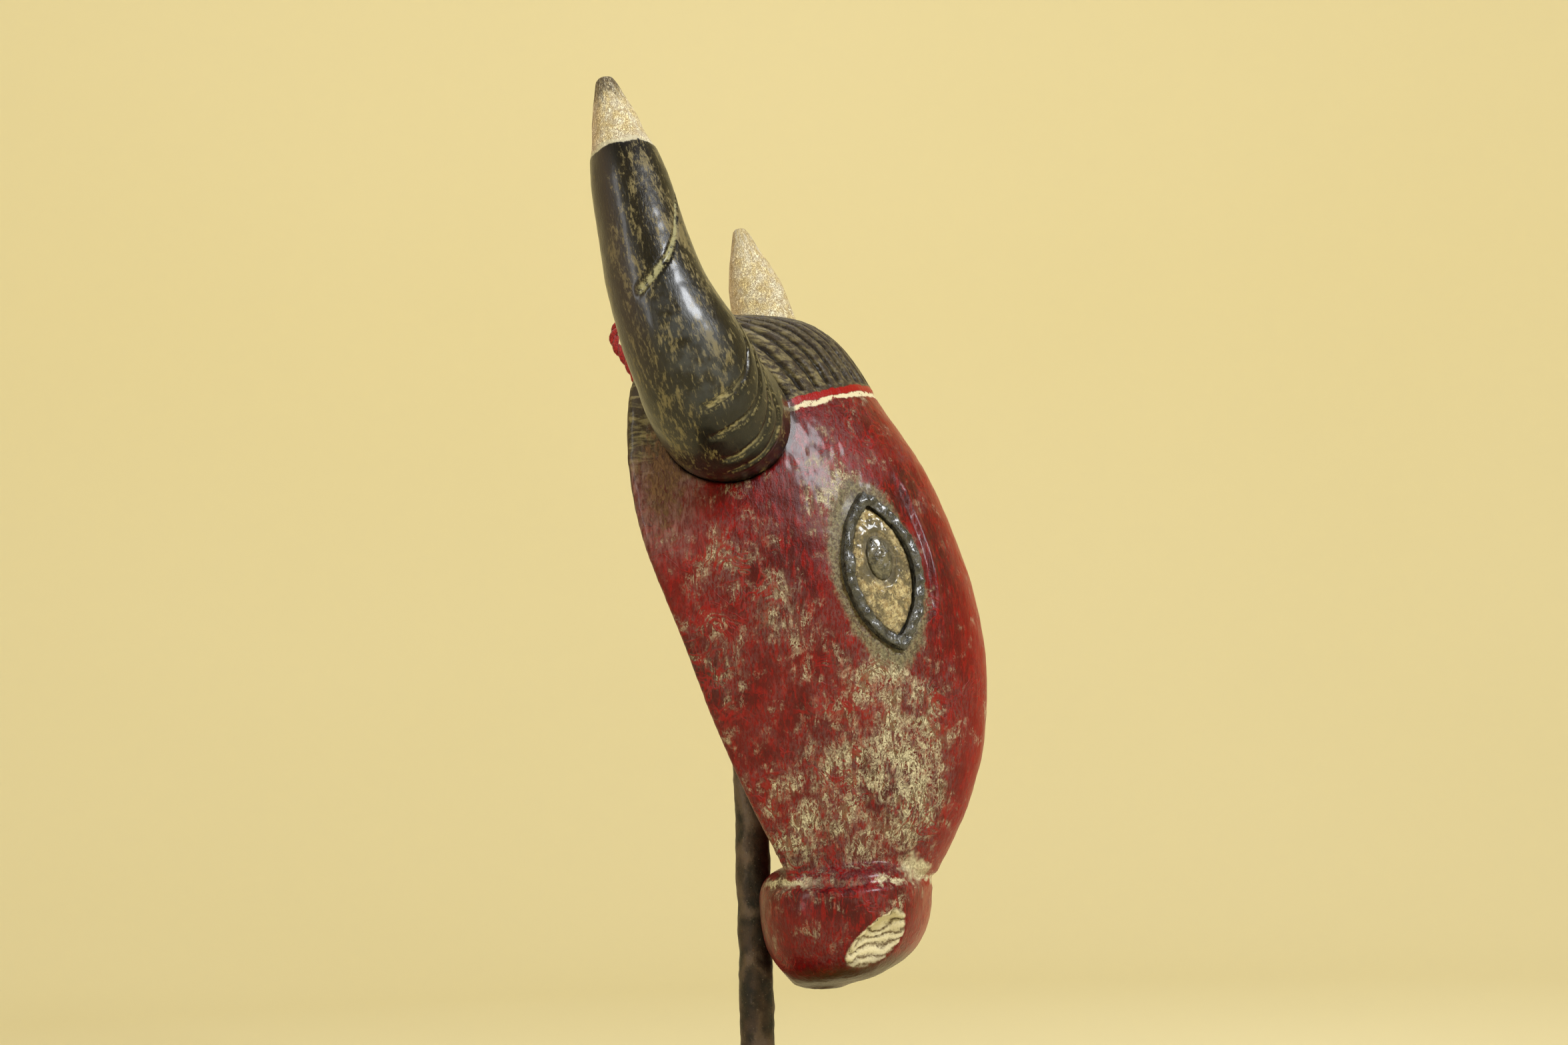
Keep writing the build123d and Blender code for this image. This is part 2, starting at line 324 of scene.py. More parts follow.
def make_knot():
    """An overhand knot: a ball whose surface is pressed into slanted wraps."""
    low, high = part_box("cord_knot")
    middle = (low + high) / 2
    radius = (high - low).length / 2 / math.sqrt(3)
    bpy.ops.object.select_all(action="DESELECT")
    bpy.ops.mesh.primitive_uv_sphere_add(segments=48, ring_count=32, radius=radius, location=middle)
    bpy.ops.object.transform_apply(location=True)
    piece = bpy.context.active_object
    piece.name = "yarn_knot"
    points = read_points(piece)
    spread = points - np.array(middle) / MM
    around = np.arctan2(spread[:, 1], spread[:, 0])
    wrap = np.abs(np.sin(KNOT_TURNS * around / 2 + spread[:, 2] * 0.9))
    write_points(piece, np.array(middle) / MM + spread * (0.80 + 0.17 * wrap)[:, None])
    store(piece, "twist", around * 3 + spread[:, 2])
    return finish_mesh(piece, "mask", ["cord_knot"])


yarn_knot = make_knot()
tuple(loop_line[0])

# %% [markdown]
# ## Writing materials as sums
# A node graph drawn by hand is hard to read back. Here a small class wraps a socket, so that
# `1 - mask` or `grain * 0.5` adds the Math nodes for it, and one method adds every other node.
# Each finish below is then a short recipe: where the colour changes, and how rough it is.

# %% A socket that can be used in sums
class Link:
    """An output socket; a sum with it adds the Math node that works the sum out."""

    def __init__(self, finish, socket):
        self.finish = finish
        self.socket = socket

    def math(self, operation, *values):
        settings = {"operation": operation}
        return self.finish.node("Math", settings, dict(enumerate(values)))

    def __add__(self, other):
        return self.math("ADD", self, other)

    def __radd__(self, other):
        return self.math("ADD", other, self)

    def __sub__(self, other):
        return self.math("SUBTRACT", self, other)

    def __rsub__(self, other):
        return self.math("SUBTRACT", other, self)

    def __mul__(self, other):
        return self.math("MULTIPLY", self, other)

    def __rmul__(self, other):
        return self.math("MULTIPLY", other, self)

    def __abs__(self):
        return self.math("ABSOLUTE", self)

    def most(self, other):
        return self.math("MAXIMUM", self, other)

    def rise(self, low=0.35, high=0.65):
        """A soft step: 0 below low and 1 above high."""
        settings = {"interpolation_type": "SMOOTHSTEP"}
        return self.finish.node("MapRange", settings, {0: self, 1: low, 2: high})


# %% A material that builds itself from nodes
def paint(red, green, blue):
    """A colour from its display values, 0 to 255, as the linear values that a shader takes."""
    linear = []
    for part in (red / 255, green / 255, blue / 255):
        linear.append(part / 12.92 if part <= 0.04045 else ((part + 0.055) / 1.055) ** 2.4)
    return (*linear, 1)


class Finish:
    """A material, with one method that adds any node."""

    def __init__(self, name):
        self.material = bpy.data.materials.new(name)
        self.material.use_nodes = True
        self.tree = self.material.node_tree
        self.tree.nodes.clear()
        self.here = self.node("TexCoord", output="Object")

    def node(self, kind, settings=None, inputs=None, output=0):
        """Add a node, set it up, fill its sockets, and return one output."""
        made = self.tree.nodes.new("ShaderNode" + kind)
        for key, value in (settings or {}).items():
            setattr(made, key, value)
        for key, value in (inputs or {}).items():
            if isinstance(value, Link):
                self.tree.links.new(value.socket, made.inputs[key])
            else:
                made.inputs[key].default_value = value
        return Link(self, made.outputs[output])

    def stretched(self, across, forward, height, vector=None):
        """Coordinates in which a pattern is that many times longer along each axis."""
        factors = (1 / across, 1 / forward, 1 / height)
        return self.node("Mapping", None, {"Vector": vector or self.here, "Scale": factors})

    def grain(self, size, detail=3.0, rough=0.5, bend=0.0, vector=None, tall=1):
        """Noise from 0 to 1, whose lumps are about size millimetres wide and tall times higher."""
        if tall != 1:
            vector = self.stretched(1, 1, tall, vector)
        sockets = {"Vector": vector or self.here, "Scale": 1 / (size * MM), "Detail": detail}
        sockets.update({"Roughness": rough, "Distortion": bend})
        return self.node("TexNoise", None, sockets)

    def cracks(self, size):
        """The distance to the nearest edge between cells of that size."""
        sockets = {"Vector": self.here, "Scale": 1 / (size * MM)}
        return self.node("TexVoronoi", {"feature": "DISTANCE_TO_EDGE"}, sockets)

    def stored(self, name):
        """A number that the sculpting kept at each point."""
        return self.node("Attribute", {"attribute_name": name}, None, "Fac")

    def axis(self, index):
        """One of the X, Y and Z coordinates, in millimetres."""
        return self.node("SeparateXYZ", None, {0: self.here}, index) * (1 / MM)

    def mix(self, amount, first, second):
        """The first colour, turned into the second by that amount."""
        sockets = {0: amount, 6: first, 7: second}
        return self.node("Mix", {"data_type": "RGBA"}, sockets, 2)

    def cover(self, amount, color):
        """Lay a colour over the finish so far, by that amount."""
        self.color = self.mix(amount, self.color, color)

    def bump(self, height, depth, strength=1.0, below=None):
        """Relief from a height of 0 to 1 that stands depth millimetres high."""
        sockets = {"Height": height, "Distance": depth * MM, "Strength": strength}
        if below:
            sockets["Normal"] = below
        return self.node("Bump", None, sockets)

    def surface(self, roughness, normal=None, more=None):
        """Close the material with its shader; more sockets are given by their names."""
        sockets = {"Base Color": self.color, "Roughness": roughness}
        if normal:
            sockets["Normal"] = normal
        sockets.update(more or {})
        shader = self.node("BsdfPrincipled", None, sockets)
        output = self.tree.nodes.new("ShaderNodeOutputMaterial")
        self.tree.links.new(shader.socket, output.inputs["Surface"])
        return self.material


def dress(material, *pieces):
    """Give pieces, or CAD nodes by name, one material."""
    for piece in pieces:
        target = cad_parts[piece] if isinstance(piece, str) else piece
        target.data.materials.clear()
        target.data.materials.append(material)


# %% [markdown]
# ## Red wool yarn
# Wool is dull, and each ply shows its fibres as fine slanted lines. The lines come from the
# twist number kept when the plies were wound, so they follow the yarn round every bend.

# %% Wool finish
def wool_finish():
    """Bright red wool with slanted fibres and a little dust."""
    finish = Finish("Red wool")
    slant = finish.stored("twist") * 4
    fibre = slant.math("SINE", slant)
    fuzz = finish.grain(0.5, 4, 0.7)
    finish.color = finish.mix(fuzz.rise(0.35, 0.7), paint(96, 8, 10), paint(190, 34, 26))
    finish.cover(finish.grain(5).rise(0.55, 0.75) * 0.35, paint(150, 70, 60))
    relief = finish.bump(fibre * 0.5 + fuzz, 0.25, 0.8)
    return finish.surface(0.85, relief, {"Sheen Weight": 0.5, "Sheen Roughness": 0.4})


dress(wool_finish(), yarn_loop, yarn_knot)

# %% [markdown]
# ## The head: form
# One block of wood was carved with a gouge, primed cream, painted crimson and worn. The large
# form is already in the CAD mesh. What is cut here is smaller than a finger: combed hair on the
# crown, the raised edge of the hair line, a sharp fold in front of each eye, the crease over the
# muzzle, scooped nostrils, and the scoops left inside the hollow.

# %% The head's skin and its landmarks
HEAD_SKIN = 1.28 * MM
HAIR_SLOPE = 0.44
HAIR_HEIGHT = 297.4
HAIR_FORWARD = 27.5
HOLLOW_FLOOR = 142.0

head, head_points, head_normals = skinned_copy("head", "carved_head", HEAD_SKIN)
across = head_points[:, 0]
ahead = -head_points[:, 1]
height = head_points[:, 2]


def inner_side(points, normals):
    """1 on the wall of the hollow and 0 outside: its faces look towards the hollow's middle."""
    x, y, z = points.T
    facing = normals[:, 0] * x + normals[:, 1] * (y + 20) + normals[:, 2] * (z - 215) / 2
    return ((z > HOLLOW_FLOOR) & (facing < 0)).astype(float)


def back_rim(points):
    """How far each point is ahead of the back rim at its own height."""
    levels = np.arange(points[:, 2].min(), points[:, 2].max() + 4, 4)
    rim = [points[np.abs(points[:, 2] - level) < 4][:, 1].max() for level in levels]
    return np.interp(points[:, 2], levels, rim) - points[:, 1]


inner = inner_side(head_points, head_normals)
outer = 1 - inner
rim = back_rim(head_points)
hair = height - HAIR_HEIGHT - HAIR_SLOPE * (ahead - HAIR_FORWARD)
print("points on the hollow's wall:", int(inner.sum()))

# %% Eye landmarks: each eye has its own plane, like the CAD's
EYE_ACROSS = 41.0
EYE_AHEAD = 61.5
EYE_HEIGHT = 232.0
EYE_YAW = math.radians(36)
EYE_TILT = math.radians(15)
EYE_HALF_LONG = 30.5
EYE_HALF_WIDE = 16.0


def eye_axes(side):
    """The eye's middle, and its directions forward, along and out."""
    middle = np.array((side * EYE_ACROSS, -EYE_AHEAD, EYE_HEIGHT))
    out = Vector((side * math.cos(EYE_YAW), -math.sin(EYE_YAW), 0))
    leaning = Vector((0, math.sin(EYE_TILT), math.cos(EYE_TILT)))
    along = (leaning - out * leaning.dot(out)).normalized()
    forward = along.cross(out)
    if forward.y > 0:
        forward = -forward
    return middle, np.array(forward), np.array(along), np.array(out)


def eye_places(points, side):
    """Each point's distances forward, along and out from an eye's middle."""
    middle, forward, along, out = eye_axes(side)
    spread = points - middle
    return spread @ forward, spread @ along, spread @ out


def almond_reach(forward, along):
    """1 on the eye's pointed outline, less inside and more outside."""
    wide = np.abs(forward) / EYE_HALF_WIDE
    tall = np.abs(along) / EYE_HALF_LONG
    return np.sqrt(wide ** 2 + 0.15 * wide * tall + tall ** 2)


# %% Cuts round the eyes
FOLD_REACH = 24.0


def fold_line(along):
    """How far ahead of the eye's middle the sharp fold runs."""
    return FOLD_REACH - 0.0055 * (along - 8) ** 2


def cut_eye_fold(points):
    """The fold: flat towards the eye, with a sharp edge, fading at both ends."""
    push = np.zeros(len(points))
    for side in (-1, 1):
        forward, along, out = eye_places(points, side)
        beyond = fold_line(along) - forward
        near = smooth_step(-24, -12, along) * (1 - smooth_step(26, 38, along))
        near = near * (out > -24) * (points[:, 0] * side > 0)
        scoop = smooth_step(0, 1.6, beyond) * (1 - smooth_step(4, 11, beyond))
        lip = np.exp(-((beyond + 0.8) / 1.1) ** 2)
        push += near * (0.55 * lip - 1.15 * scoop)
    return push


def eye_reach(points):
    """The almond distance of the nearer eye."""
    reach = np.full(len(points), 9.0)
    for side in (-1, 1):
        forward, along, out = eye_places(points, side)
        own = (points[:, 0] * side > 0) & (np.abs(out) < 26)
        reach = np.where(own, np.minimum(reach, almond_reach(forward, along)), reach)
    return reach


around_eye = eye_reach(head_points)

# %% Combed hair, the hair line, and the crease over the muzzle
COMB_STEP = 5.0
COMB_DEPTH = 1.5
COMB_EDGE = 50.0
CREASE_HEIGHT = 119.0

comb_wander = 1.1 * lumps(head_points, 24, 3) + 0.25 * lumps(head_points, 5, 5)
comb = (across + comb_wander) / COMB_STEP
comb_away = np.abs(comb - np.floor(comb) - 0.5) * COMB_STEP
combed = smooth_step(0.8, 3.0, hair) * (1 - smooth_step(COMB_EDGE - 8, COMB_EDGE, np.abs(across)))
combed = combed * outer


def cut_hair(points):
    """V cuts from the hair line back over the crown, and the painted edge's thick lip."""
    grooves = combed * np.clip(1 - comb_away / 1.5, 0, 1) * COMB_DEPTH
    ragged = hair + 0.8 * lumps(points, 6, 7)
    cap = 0.45 * smooth_step(-0.6, 0.6, ragged)
    lip = 0.45 * np.exp(-((ragged + 1.2) / 1.2) ** 2)
    return (cap + lip) * outer - grooves


def cut_crease(points):
    """The crease where the muzzle meets the head."""
    line = CREASE_HEIGHT + 1.3 * lumps(points, 18, 9) + 0.035 * (ahead - 40)
    cut = np.exp(-((height - line) / 1.3) ** 2)
    lip = np.exp(-((height - line + 3.4) / 1.8) ** 2)
    return (0.55 * lip - 1.0 * cut) * outer * smooth_step(8, 14, ahead)


# %% Nostrils scooped with a small gouge
NOSTRIL_MIDDLE = (29.5, 54.0, 95.0)
NOSTRIL_HALF = (6.5, 10.2, 16.2)
NOSTRIL_SLOPE = math.radians(42)
NOSTRIL_YAW = math.radians(22)
GOUGE_STEP = 3.3


def nostril_places(points, side):
    """Each point in a nostril's own axes: depth, width and length."""
    x, forward, z = NOSTRIL_MIDDLE
    spread = points - np.array((side * x, -forward, z))
    turned = Matrix.Rotation(-side * NOSTRIL_YAW, 3, "Z") @ Matrix.Rotation(NOSTRIL_SLOPE, 3, "X")
    return spread @ np.array(turned)


def nostril_shape(points):
    """How far out of the nearer nostril a point is, and its place along the gouge cuts."""
    reach = np.full(len(points), 9.0)
    along = np.zeros(len(points))
    for side in (-1, 1):
        own = nostril_places(points, side)
        size = np.linalg.norm(own / np.array(NOSTRIL_HALF), axis=1)
        near = (size < reach) & (points[:, 0] * side > 0)
        reach = np.where(near, size, reach)
        along = np.where(near, points[:, 2] + 0.27 * points[:, 1], along)
    return reach, along


nostril, nostril_along = nostril_shape(head_points)
gouge = nostril_along / GOUGE_STEP + 0.8 * lumps(head_points, 5, 11)


def cut_nostrils():
    """Ridges between the cuts, only inside the nostrils."""
    ridge = np.abs(np.sin(math.pi * gouge))
    inside = 1 - smooth_step(0.98, 1.12, nostril)
    return inside * (1.5 * ridge ** 0.7 - 1.2)


# %% Gouge marks, brush strokes and the whole head put together
def hand_work(points):
    """The small unevenness that a knife, sandpaper and a thick brush leave."""
    broad = 0.55 * lumps(points, 24, 13) + 0.28 * lumps(points, 10, 15)
    strokes = points * np.array((0.5, 0.5, 0.13))
    brushed = 0.15 * lumps(strokes, 1.0, 17) + 0.10 * lumps(points, 3.2, 19)
    return (broad + brushed) * outer


def hollow_work(points):
    """Scoops left by a wide gouge inside the hollow."""
    return inner * 0.9 * (0.55 - facets(points * np.array((1, 1, 0.7)), 11.0))


def soften_edge(piece, weights):
    """Sand the points that carry a weight, as the back edge is rubbed smooth by hands."""
    group = piece.vertex_groups.new(name="edge")
    for index in np.flatnonzero(weights > 0.02):
        group.add([int(index)], float(weights[index]), "REPLACE")
    sand = piece.modifiers.new("Sand", "SMOOTH")
    sand.vertex_group = "edge"
    sand.factor = 0.5
    sand.iterations = 14
    apply_modifier(piece, sand)
    piece.vertex_groups.clear()


calm = smooth_step(1.0, 1.15, around_eye) * smooth_step(0.0, 2.5, rim)
push = hand_work(head_points) * calm + hollow_work(head_points) * smooth_step(1.0, 6.0, rim)
push += (cut_eye_fold(head_points) * outer + cut_hair(head_points)) * calm
push += cut_crease(head_points) * calm + cut_nostrils()
write_points(head, head_points + head_normals * push[:, None])
soften_edge(head, 1 - smooth_step(1.5, 4.5, rim))
for name, values in {
    "inner": inner,
    "rim": rim,
    "hair": hair,
    "comb": comb,
    "combed": combed,
    "around_eye": around_eye,
    "nostril": nostril,
    "gouge": gouge,
}.items():
    store(head, name, values)
finish_mesh(head, "mask", ["head"])
print("deepest cut in millimetres:", round(float(-push.min()), 2))

# %% [markdown]
# ## The head: paint
# The finish is a stack, built in the order the maker and the years laid it down: cream primer,
# crimson paint, wear back to the primer in curly flecks, a grey film of dust and wax that also
# carries a painted sheen, and dark stain on the crown. Painted light is laid in too: a highlight
# down the front, a purple sheen behind each horn, and shade in the nostril cuts. Flecks come from
# noise used as a contour line, which gives thin curls, and a few listed worn places decide where
# they crowd together.

# %% Where the paint is worn most
# Ahead of the post, height, half spans ahead and up, and strength of each worn place.
WORN_PLACES = [
    (66, 158, 13, 30, 0.68), (44, 155, 12, 24, 0.50), (24, 138, 14, 18, 0.45),
    (46, 258, 8, 18, 0.45), (10, 240, 14, 12, 0.38), (26, 216, 8, 20, 0.38),
    (58, 193, 10, 12, 0.60), (4, 200, 10, 14, 0.25),
]


def worn_map(points):
    """How worn the paint is at each point, from 0 to about 1."""
    worn = np.zeros(len(points))
    for forward, level, half_ahead, half_up, strength in WORN_PLACES:
        away = ((-points[:, 1] - forward) / half_ahead) ** 2 + ((points[:, 2] - level) / half_up) ** 2
        worn = np.maximum(worn, strength * np.exp(-0.7 * away))
    side = np.abs(points[:, 0])
    return worn * smooth_step(4, 22, side)


HORN_FOOT = (8.0, 288.5)
HORN_FOOT_RADIUS = 23.0
horn_away = np.hypot(ahead - HORN_FOOT[0], height - HORN_FOOT[1]) - HORN_FOOT_RADIUS
horn_away = np.where(np.abs(across) > 42, horn_away, 60.0)
bare_patch = np.hypot((ahead + 14) / 7, (height - 270) / 20)
bare_patch = np.where(np.abs(across) > 42, bare_patch, 9.0)
store(head, "worn", worn_map(head_points))
store(head, "horn_away", horn_away)
store(head, "bare_patch", bare_patch)

CREAM = paint(218, 209, 178)
CREAM_SHADE = paint(148, 137, 112)
CRIMSON = paint(104, 5, 8)
CRIMSON_DEEP = paint(66, 5, 9)
CRIMSON_BRIGHT = paint(136, 6, 7)
MAROON = paint(38, 7, 11)
# Grey-mauve: partly real dust and wax, partly a painted sheen.
GREY_FILM_AND_SHEEN = paint(98, 70, 70)
KHAKI = paint(116, 106, 72)
HAIR_DARK = paint(60, 51, 41)
WOOD_TAN = paint(140, 100, 58)


# %% The painted head's finish, layer by layer
def flecks(finish, size, width, shift):
    """Thin curls: the contour lines of a bent noise."""
    moved = finish.stretched(1, 1, 1.7)
    curl = finish.grain(size, 4.0, 0.62, 1.4, moved)
    return 1 - (abs(curl - shift)).rise(width * 0.4, width)


def brush_sweeps(finish):
    """Long curved ridges where a loaded brush turned."""
    sweep = finish.grain(13, 2.0, 0.5, 2.2)
    places = finish.grain(22, 2.0).rise(0.48, 0.60)
    return (1 - abs(sweep - 0.5).rise(0.015, 0.055)) * places


def red_paint(finish, sweeps):
    """Crimson with broad clouds, fine vertical strokes, dark specks and a painted highlight down the front.
    """
    mix, grain = finish.mix, finish.grain
    clouds = grain(26, 3.0)
    strokes = grain(1.5, 5.0, 0.65, 0.3, tall=4)
    specks = grain(0.6, 5.0, 0.8, 0.4, tall=2)
    # Painted highlight: brighter red down the front of the face, where the light falls on it.
    front = (20 - abs(finish.axis(0))).rise(0, 20)
    color = mix(clouds.rise(), CRIMSON_DEEP, CRIMSON)
    color = mix(strokes.rise(0.48, 0.62) * 0.7, color, CRIMSON_BRIGHT)
    color = mix((1 - specks.rise(0.36, 0.48)) * 0.7, color, MAROON)
    color = mix(sweeps * 0.8, color, CRIMSON_BRIGHT)
    return mix(front * 0.75, color, paint(148, 7, 7))


def wear_mask(finish, worn):
    """Where the primer shows: curls and small chips that crowd in worn places."""
    grain = finish.grain
    crowd = grain(8, 4.0, 0.65, 0.4)
    strokes = grain(2.6, 3.0, 0.55, 0.5, tall=4.5)
    place = (worn * 0.7 + crowd * 1.5 - 0.78).rise(0.0, 0.5)
    place = place * (1 - (strokes - worn * 0.10).rise(0.50, 0.56) * 0.9)
    curls = flecks(finish, 3.4, 0.06, 0.5).most(flecks(finish, 1.9, 0.05, 0.47))
    chips = grain(1.2, 5.0, 0.75, 0.8, tall=1.6).rise(0.56, 0.60)
    broad = grain(5.5, 4.0, 0.65, 1.0, tall=1.5).rise(0.6, 0.68)
    marks = curls.most(chips * worn.rise(0.1, 0.6)).most(broad * worn.rise(0.2, 0.7))
    return marks * place


def painted_head_finish():
    """Cream primer, worn crimson, grey dust and wax with painted sheen, dark crown, bare wood inside, and
    painted highlight and shade.
    """
    finish = Finish("Worn crimson paint")
    cover, mix, grain, stored, bump = finish.cover, finish.mix, finish.grain, finish.stored, finish.bump
    height_here = finish.axis(2)
    ahead_here = finish.axis(1) * -1
    worn = stored("worn")
    ragged = grain(3.2, 4.0, 0.6)
    wear = wear_mask(finish, worn)

    # A grey-mauve layer: partly real dust and wax, partly a painted sheen laid into the colour.
    film_sheen_streak = grain(0.8, 6.0, 0.75, 0.4, tall=3)
    film_sheen_place = (grain(13, 3.0) * 0.9 + worn * 0.55).rise(0.36, 0.70)
    dust_film_and_sheen = film_sheen_streak.rise(0.45, 0.56) * film_sheen_place
    sweeps = brush_sweeps(finish)
    cream = mix(grain(0.8, 4.0, 0.7).rise(), CREAM_SHADE, CREAM)
    grit = grain(0.6, 5.0, 0.8, 0.5).rise(0.46, 0.56)
    stain = grain(8, 4.0, 0.7).rise(0.45, 0.62) * worn.rise(0.10, 0.6) * (0.35 + grit * 0.65)
    finish.color = mix(dust_film_and_sheen * 0.6, red_paint(finish, sweeps), GREY_FILM_AND_SHEEN)
    cover(stain * 0.8, KHAKI)
    wear = wear * (1 - sweeps * 0.9)
    cover(wear, cream)

    eye = stored("around_eye") + (ragged - 0.5) * 0.35
    wash = 1 - eye.rise(1.10, 1.26)
    wash_grain = grain(1.2, 5.0, 0.75)
    wash_color = mix(wash_grain.rise(0.4, 0.6), paint(74, 70, 56), paint(132, 126, 98))
    cover(wash * (0.75 + grit * 0.2), wash_color)

    crease = abs(height_here - 120.0 - (ragged - 0.5) * 6 - (grain(8, 2.0) - 0.5) * 5)
    crease_chips = (1 - crease.rise(0.6, 2.0)) * grain(4.5, 4.0, 0.65).rise(0.44, 0.54)
    kept = 1 - (1 - abs(ahead_here - 40).rise(8, 16)) * 0.85
    cover(crease_chips * ahead_here.rise(6, 14) * kept, cream)
    knock = (abs(ahead_here - 65) + abs(height_here - 124) + (ragged - 0.5) * 14).rise(2, 7)
    cover((1 - knock) * abs(finish.axis(0)).rise(5, 9), cream)

    hair = stored("hair") + (ragged - 0.5) * 2.4 + (grain(9, 2.0) - 0.5) * 3.0
    behind = stored("horn_away")
    stained = hair.rise(-0.4, 0.3)
    fade = (height_here + ragged * 16 - 4).rise(262, 286) * (ahead_here * -1).rise(-6, 4)
    lip = hair.rise(-3.2, -2.4) * (1 - stained)
    band = (hair + (grain(5, 3.0) - 0.5) * 3.0).rise(-5.6, -4.8) * (1 - hair.rise(-3.3, -2.7))
    band = band * grain(2.6, 3.0, 0.7).rise(0.36, 0.42)
    front_only = (ahead_here + 6).rise(18, 30)
    cover(band * front_only, CREAM)
    cover(lip * front_only, paint(146, 8, 12))

    comb = stored("comb")
    groove = 1 - abs(comb.math("FRACT", comb) - 0.5).rise(0.03, 0.24)
    groove = groove * stored("combed")
    patina = grain(2.4, 4.0, 0.65, 0.4, finish.stretched(1, 4, 1)).rise(0.44, 0.66)
    toward_horn = abs(finish.axis(0)).rise(16, 46)
    hair_color = mix(patina * (toward_horn * 0.6 + 0.35), HAIR_DARK, paint(146, 134, 96))
    hair_color = mix(groove * 0.85, hair_color, paint(14, 10, 8))
    cover(stained.most(fade), hair_color)

    # Painted sheen: a purple-pink gloss laid into the colour below and behind each horn's foot.
    sheen_place = 1 - (height_here + ragged * 18).rise(276, 292)
    sheen_place = sheen_place * (height_here + ragged * 20).rise(238, 268)
    sheen_place = sheen_place * (1 - (ahead_here + 4).rise(-8, 8))
    painted_purple_sheen = mix(grain(1.6, 4, 0.7, 0.3, tall=3).rise(),
                        paint(78, 44, 46), paint(156, 124, 124))
    cover(sheen_place * 0.6, painted_purple_sheen)
    bare = 1 - (stored("bare_patch") + (ragged - 0.5) * 2.4).rise(0.5, 1.3)
    fibre = grain(1.1, 5.0, 0.7, 0.8, tall=3)
    bare_color = mix(fibre.rise(), paint(60, 44, 34), paint(128, 96, 72))
    cover(bare * fibre.rise(0.36, 0.5), bare_color)
    # Darker in a narrow ring round each horn's foot.
    foot_ring_dark = 1 - (behind + (ragged - 0.5) * 2).rise(0.2, 1.6)
    cover(foot_ring_dark * 0.8, paint(28, 18, 12))

    cup = 1 - (stored("nostril") + (ragged - 0.5) * 0.2).rise(1.0, 1.09)
    gouge = stored("gouge")
    # Painted shade: brown bands in the valleys between the gouge ridges, on the nostrils' cream.
    nostril_valley_shade = abs(gouge.math("FRACT", gouge) - 0.5) + (grain(1.2, 5, 0.8, 0.5) - 0.5) * 1.2
    cup_color = mix(nostril_valley_shade.rise(0.14, 0.56), CREAM, paint(104, 86, 62))
    cover(cup, cup_color)

    chin = 1 - (height_here + (ragged - 0.5) * 7 - (ahead_here - 30) * 0.16).rise(84, 91)
    cover(chin * 0.85, paint(72, 54, 28))
    edge = 1 - (stored("rim") + (ragged - 0.5) * 1.4).rise(0.5, 1.6)
    cover(edge * 0.9, paint(58, 36, 26))

    growth = grain(2.0, 4.0, 0.6, 0.6, tall=9)
    wood = mix(growth.rise(), paint(104, 70, 40), WOOD_TAN)
    wood = mix(grain(14, 3.0).rise(0.45, 0.7) * 0.6, wood, paint(66, 44, 28))
    inside = stored("inner").rise(0.3, 0.7)
    cover(inside, wood)

    matt = wear.most(bare).most(cup).most(inside)
    roughness = 0.27 + dust_film_and_sheen * 0.15 + matt * 0.30 + grain(4, 3) * 0.10
    coat = (1 - matt) * 0.18
    stroke = grain(1.6, 5.0, 0.6, 0.4, tall=3)
    fine = bump(stroke * 0.7 + grain(0.8, 4, 0.6) * 0.3, 0.55, 0.8)
    chipped = bump((1 - wear) * 0.7 + sweeps * 0.5, 0.3, 0.9, fine)
    relief = bump((1 - groove) + growth * inside + fibre * bare * 0.8, 0.8, 0.7, chipped)
    gloss = {"Coat Weight": coat, "Coat Roughness": 0.14, "Specular IOR Level": 0.18}
    return finish.surface(roughness, relief, gloss)


dress(painted_head_finish(), head)

# %% [markdown]
# ## The horns: form
# Each horn is turned and bent from one piece, with crescent cuts at its foot, one long spiral cut
# half way up, and a tip whittled back to pale wood. Cuts that wind round a curved horn are hard to
# place in flat coordinates, so each point is given its own place along the horn, and its own angle
# round it, and the cuts are written in those two numbers.

# %% The horn's own line
# Outward, ahead and height of the horn's line, from its foot to its tip.
HORN_LINE = [
    (66.0, 8.0, 288.5), (79.0, 8.6, 290.0), (92.0, 7.6, 296.5),
    (100.5, 4.6, 306.5), (104.8, -0.4, 318.5), (106.3, -5.2, 333.5),
    (106.4, -8.6, 348.0), (105.7, -12.0, 363.0), (104.7, -15.4, 377.5),
    (103.3, -22.0, 406.0),
]


def horn_line(side):
    """Close points along one horn's line, the way ahead at each, and how far each has come."""
    route = [(side * outward, -forward, level) for outward, forward, level in HORN_LINE]
    line = np.array([point / MM for point in soft_line(route)])
    ways = np.gradient(line, axis=0)
    ways /= np.linalg.norm(ways, axis=1)[:, None]
    steps = np.linalg.norm(np.diff(line, axis=0), axis=1)
    return line, ways, np.concatenate(([0], np.cumsum(steps)))


def horn_places(points, side):
    """Each point's place along the horn, and its angle: 0 at the front, 90 at the outer side."""
    line, ways, come = horn_line(side)
    nearest = np.empty(len(points), dtype=int)
    for start in range(0, len(points), 4000):
        part = points[start:start + 4000]
        nearest[start:start + 4000] = ((part[:, None] - line) ** 2).sum(2).argmin(1)
    way = ways[nearest]
    spread = points - line[nearest]
    beyond = (spread * way).sum(1)
    front = np.array((0, -1, 0)) - way * (-way[:, 1:2])
    front /= np.linalg.norm(front, axis=1)[:, None]
    outward = side * np.cross(way, front)
    angle = np.degrees(np.arctan2((spread * outward).sum(1), (spread * front).sum(1)))
    return come[nearest] + beyond, angle


# %% Cuts in the horn
HORN_SKIN = 0.95 * MM
CRESCENTS = (6.5, 13.5, 22.0, 30.5)
CRESCENT_REACH = (-34, 84)
SPIRAL_REACH = (-20, 104)
TIP_START = {-1: 115.0, 1: 94.0}


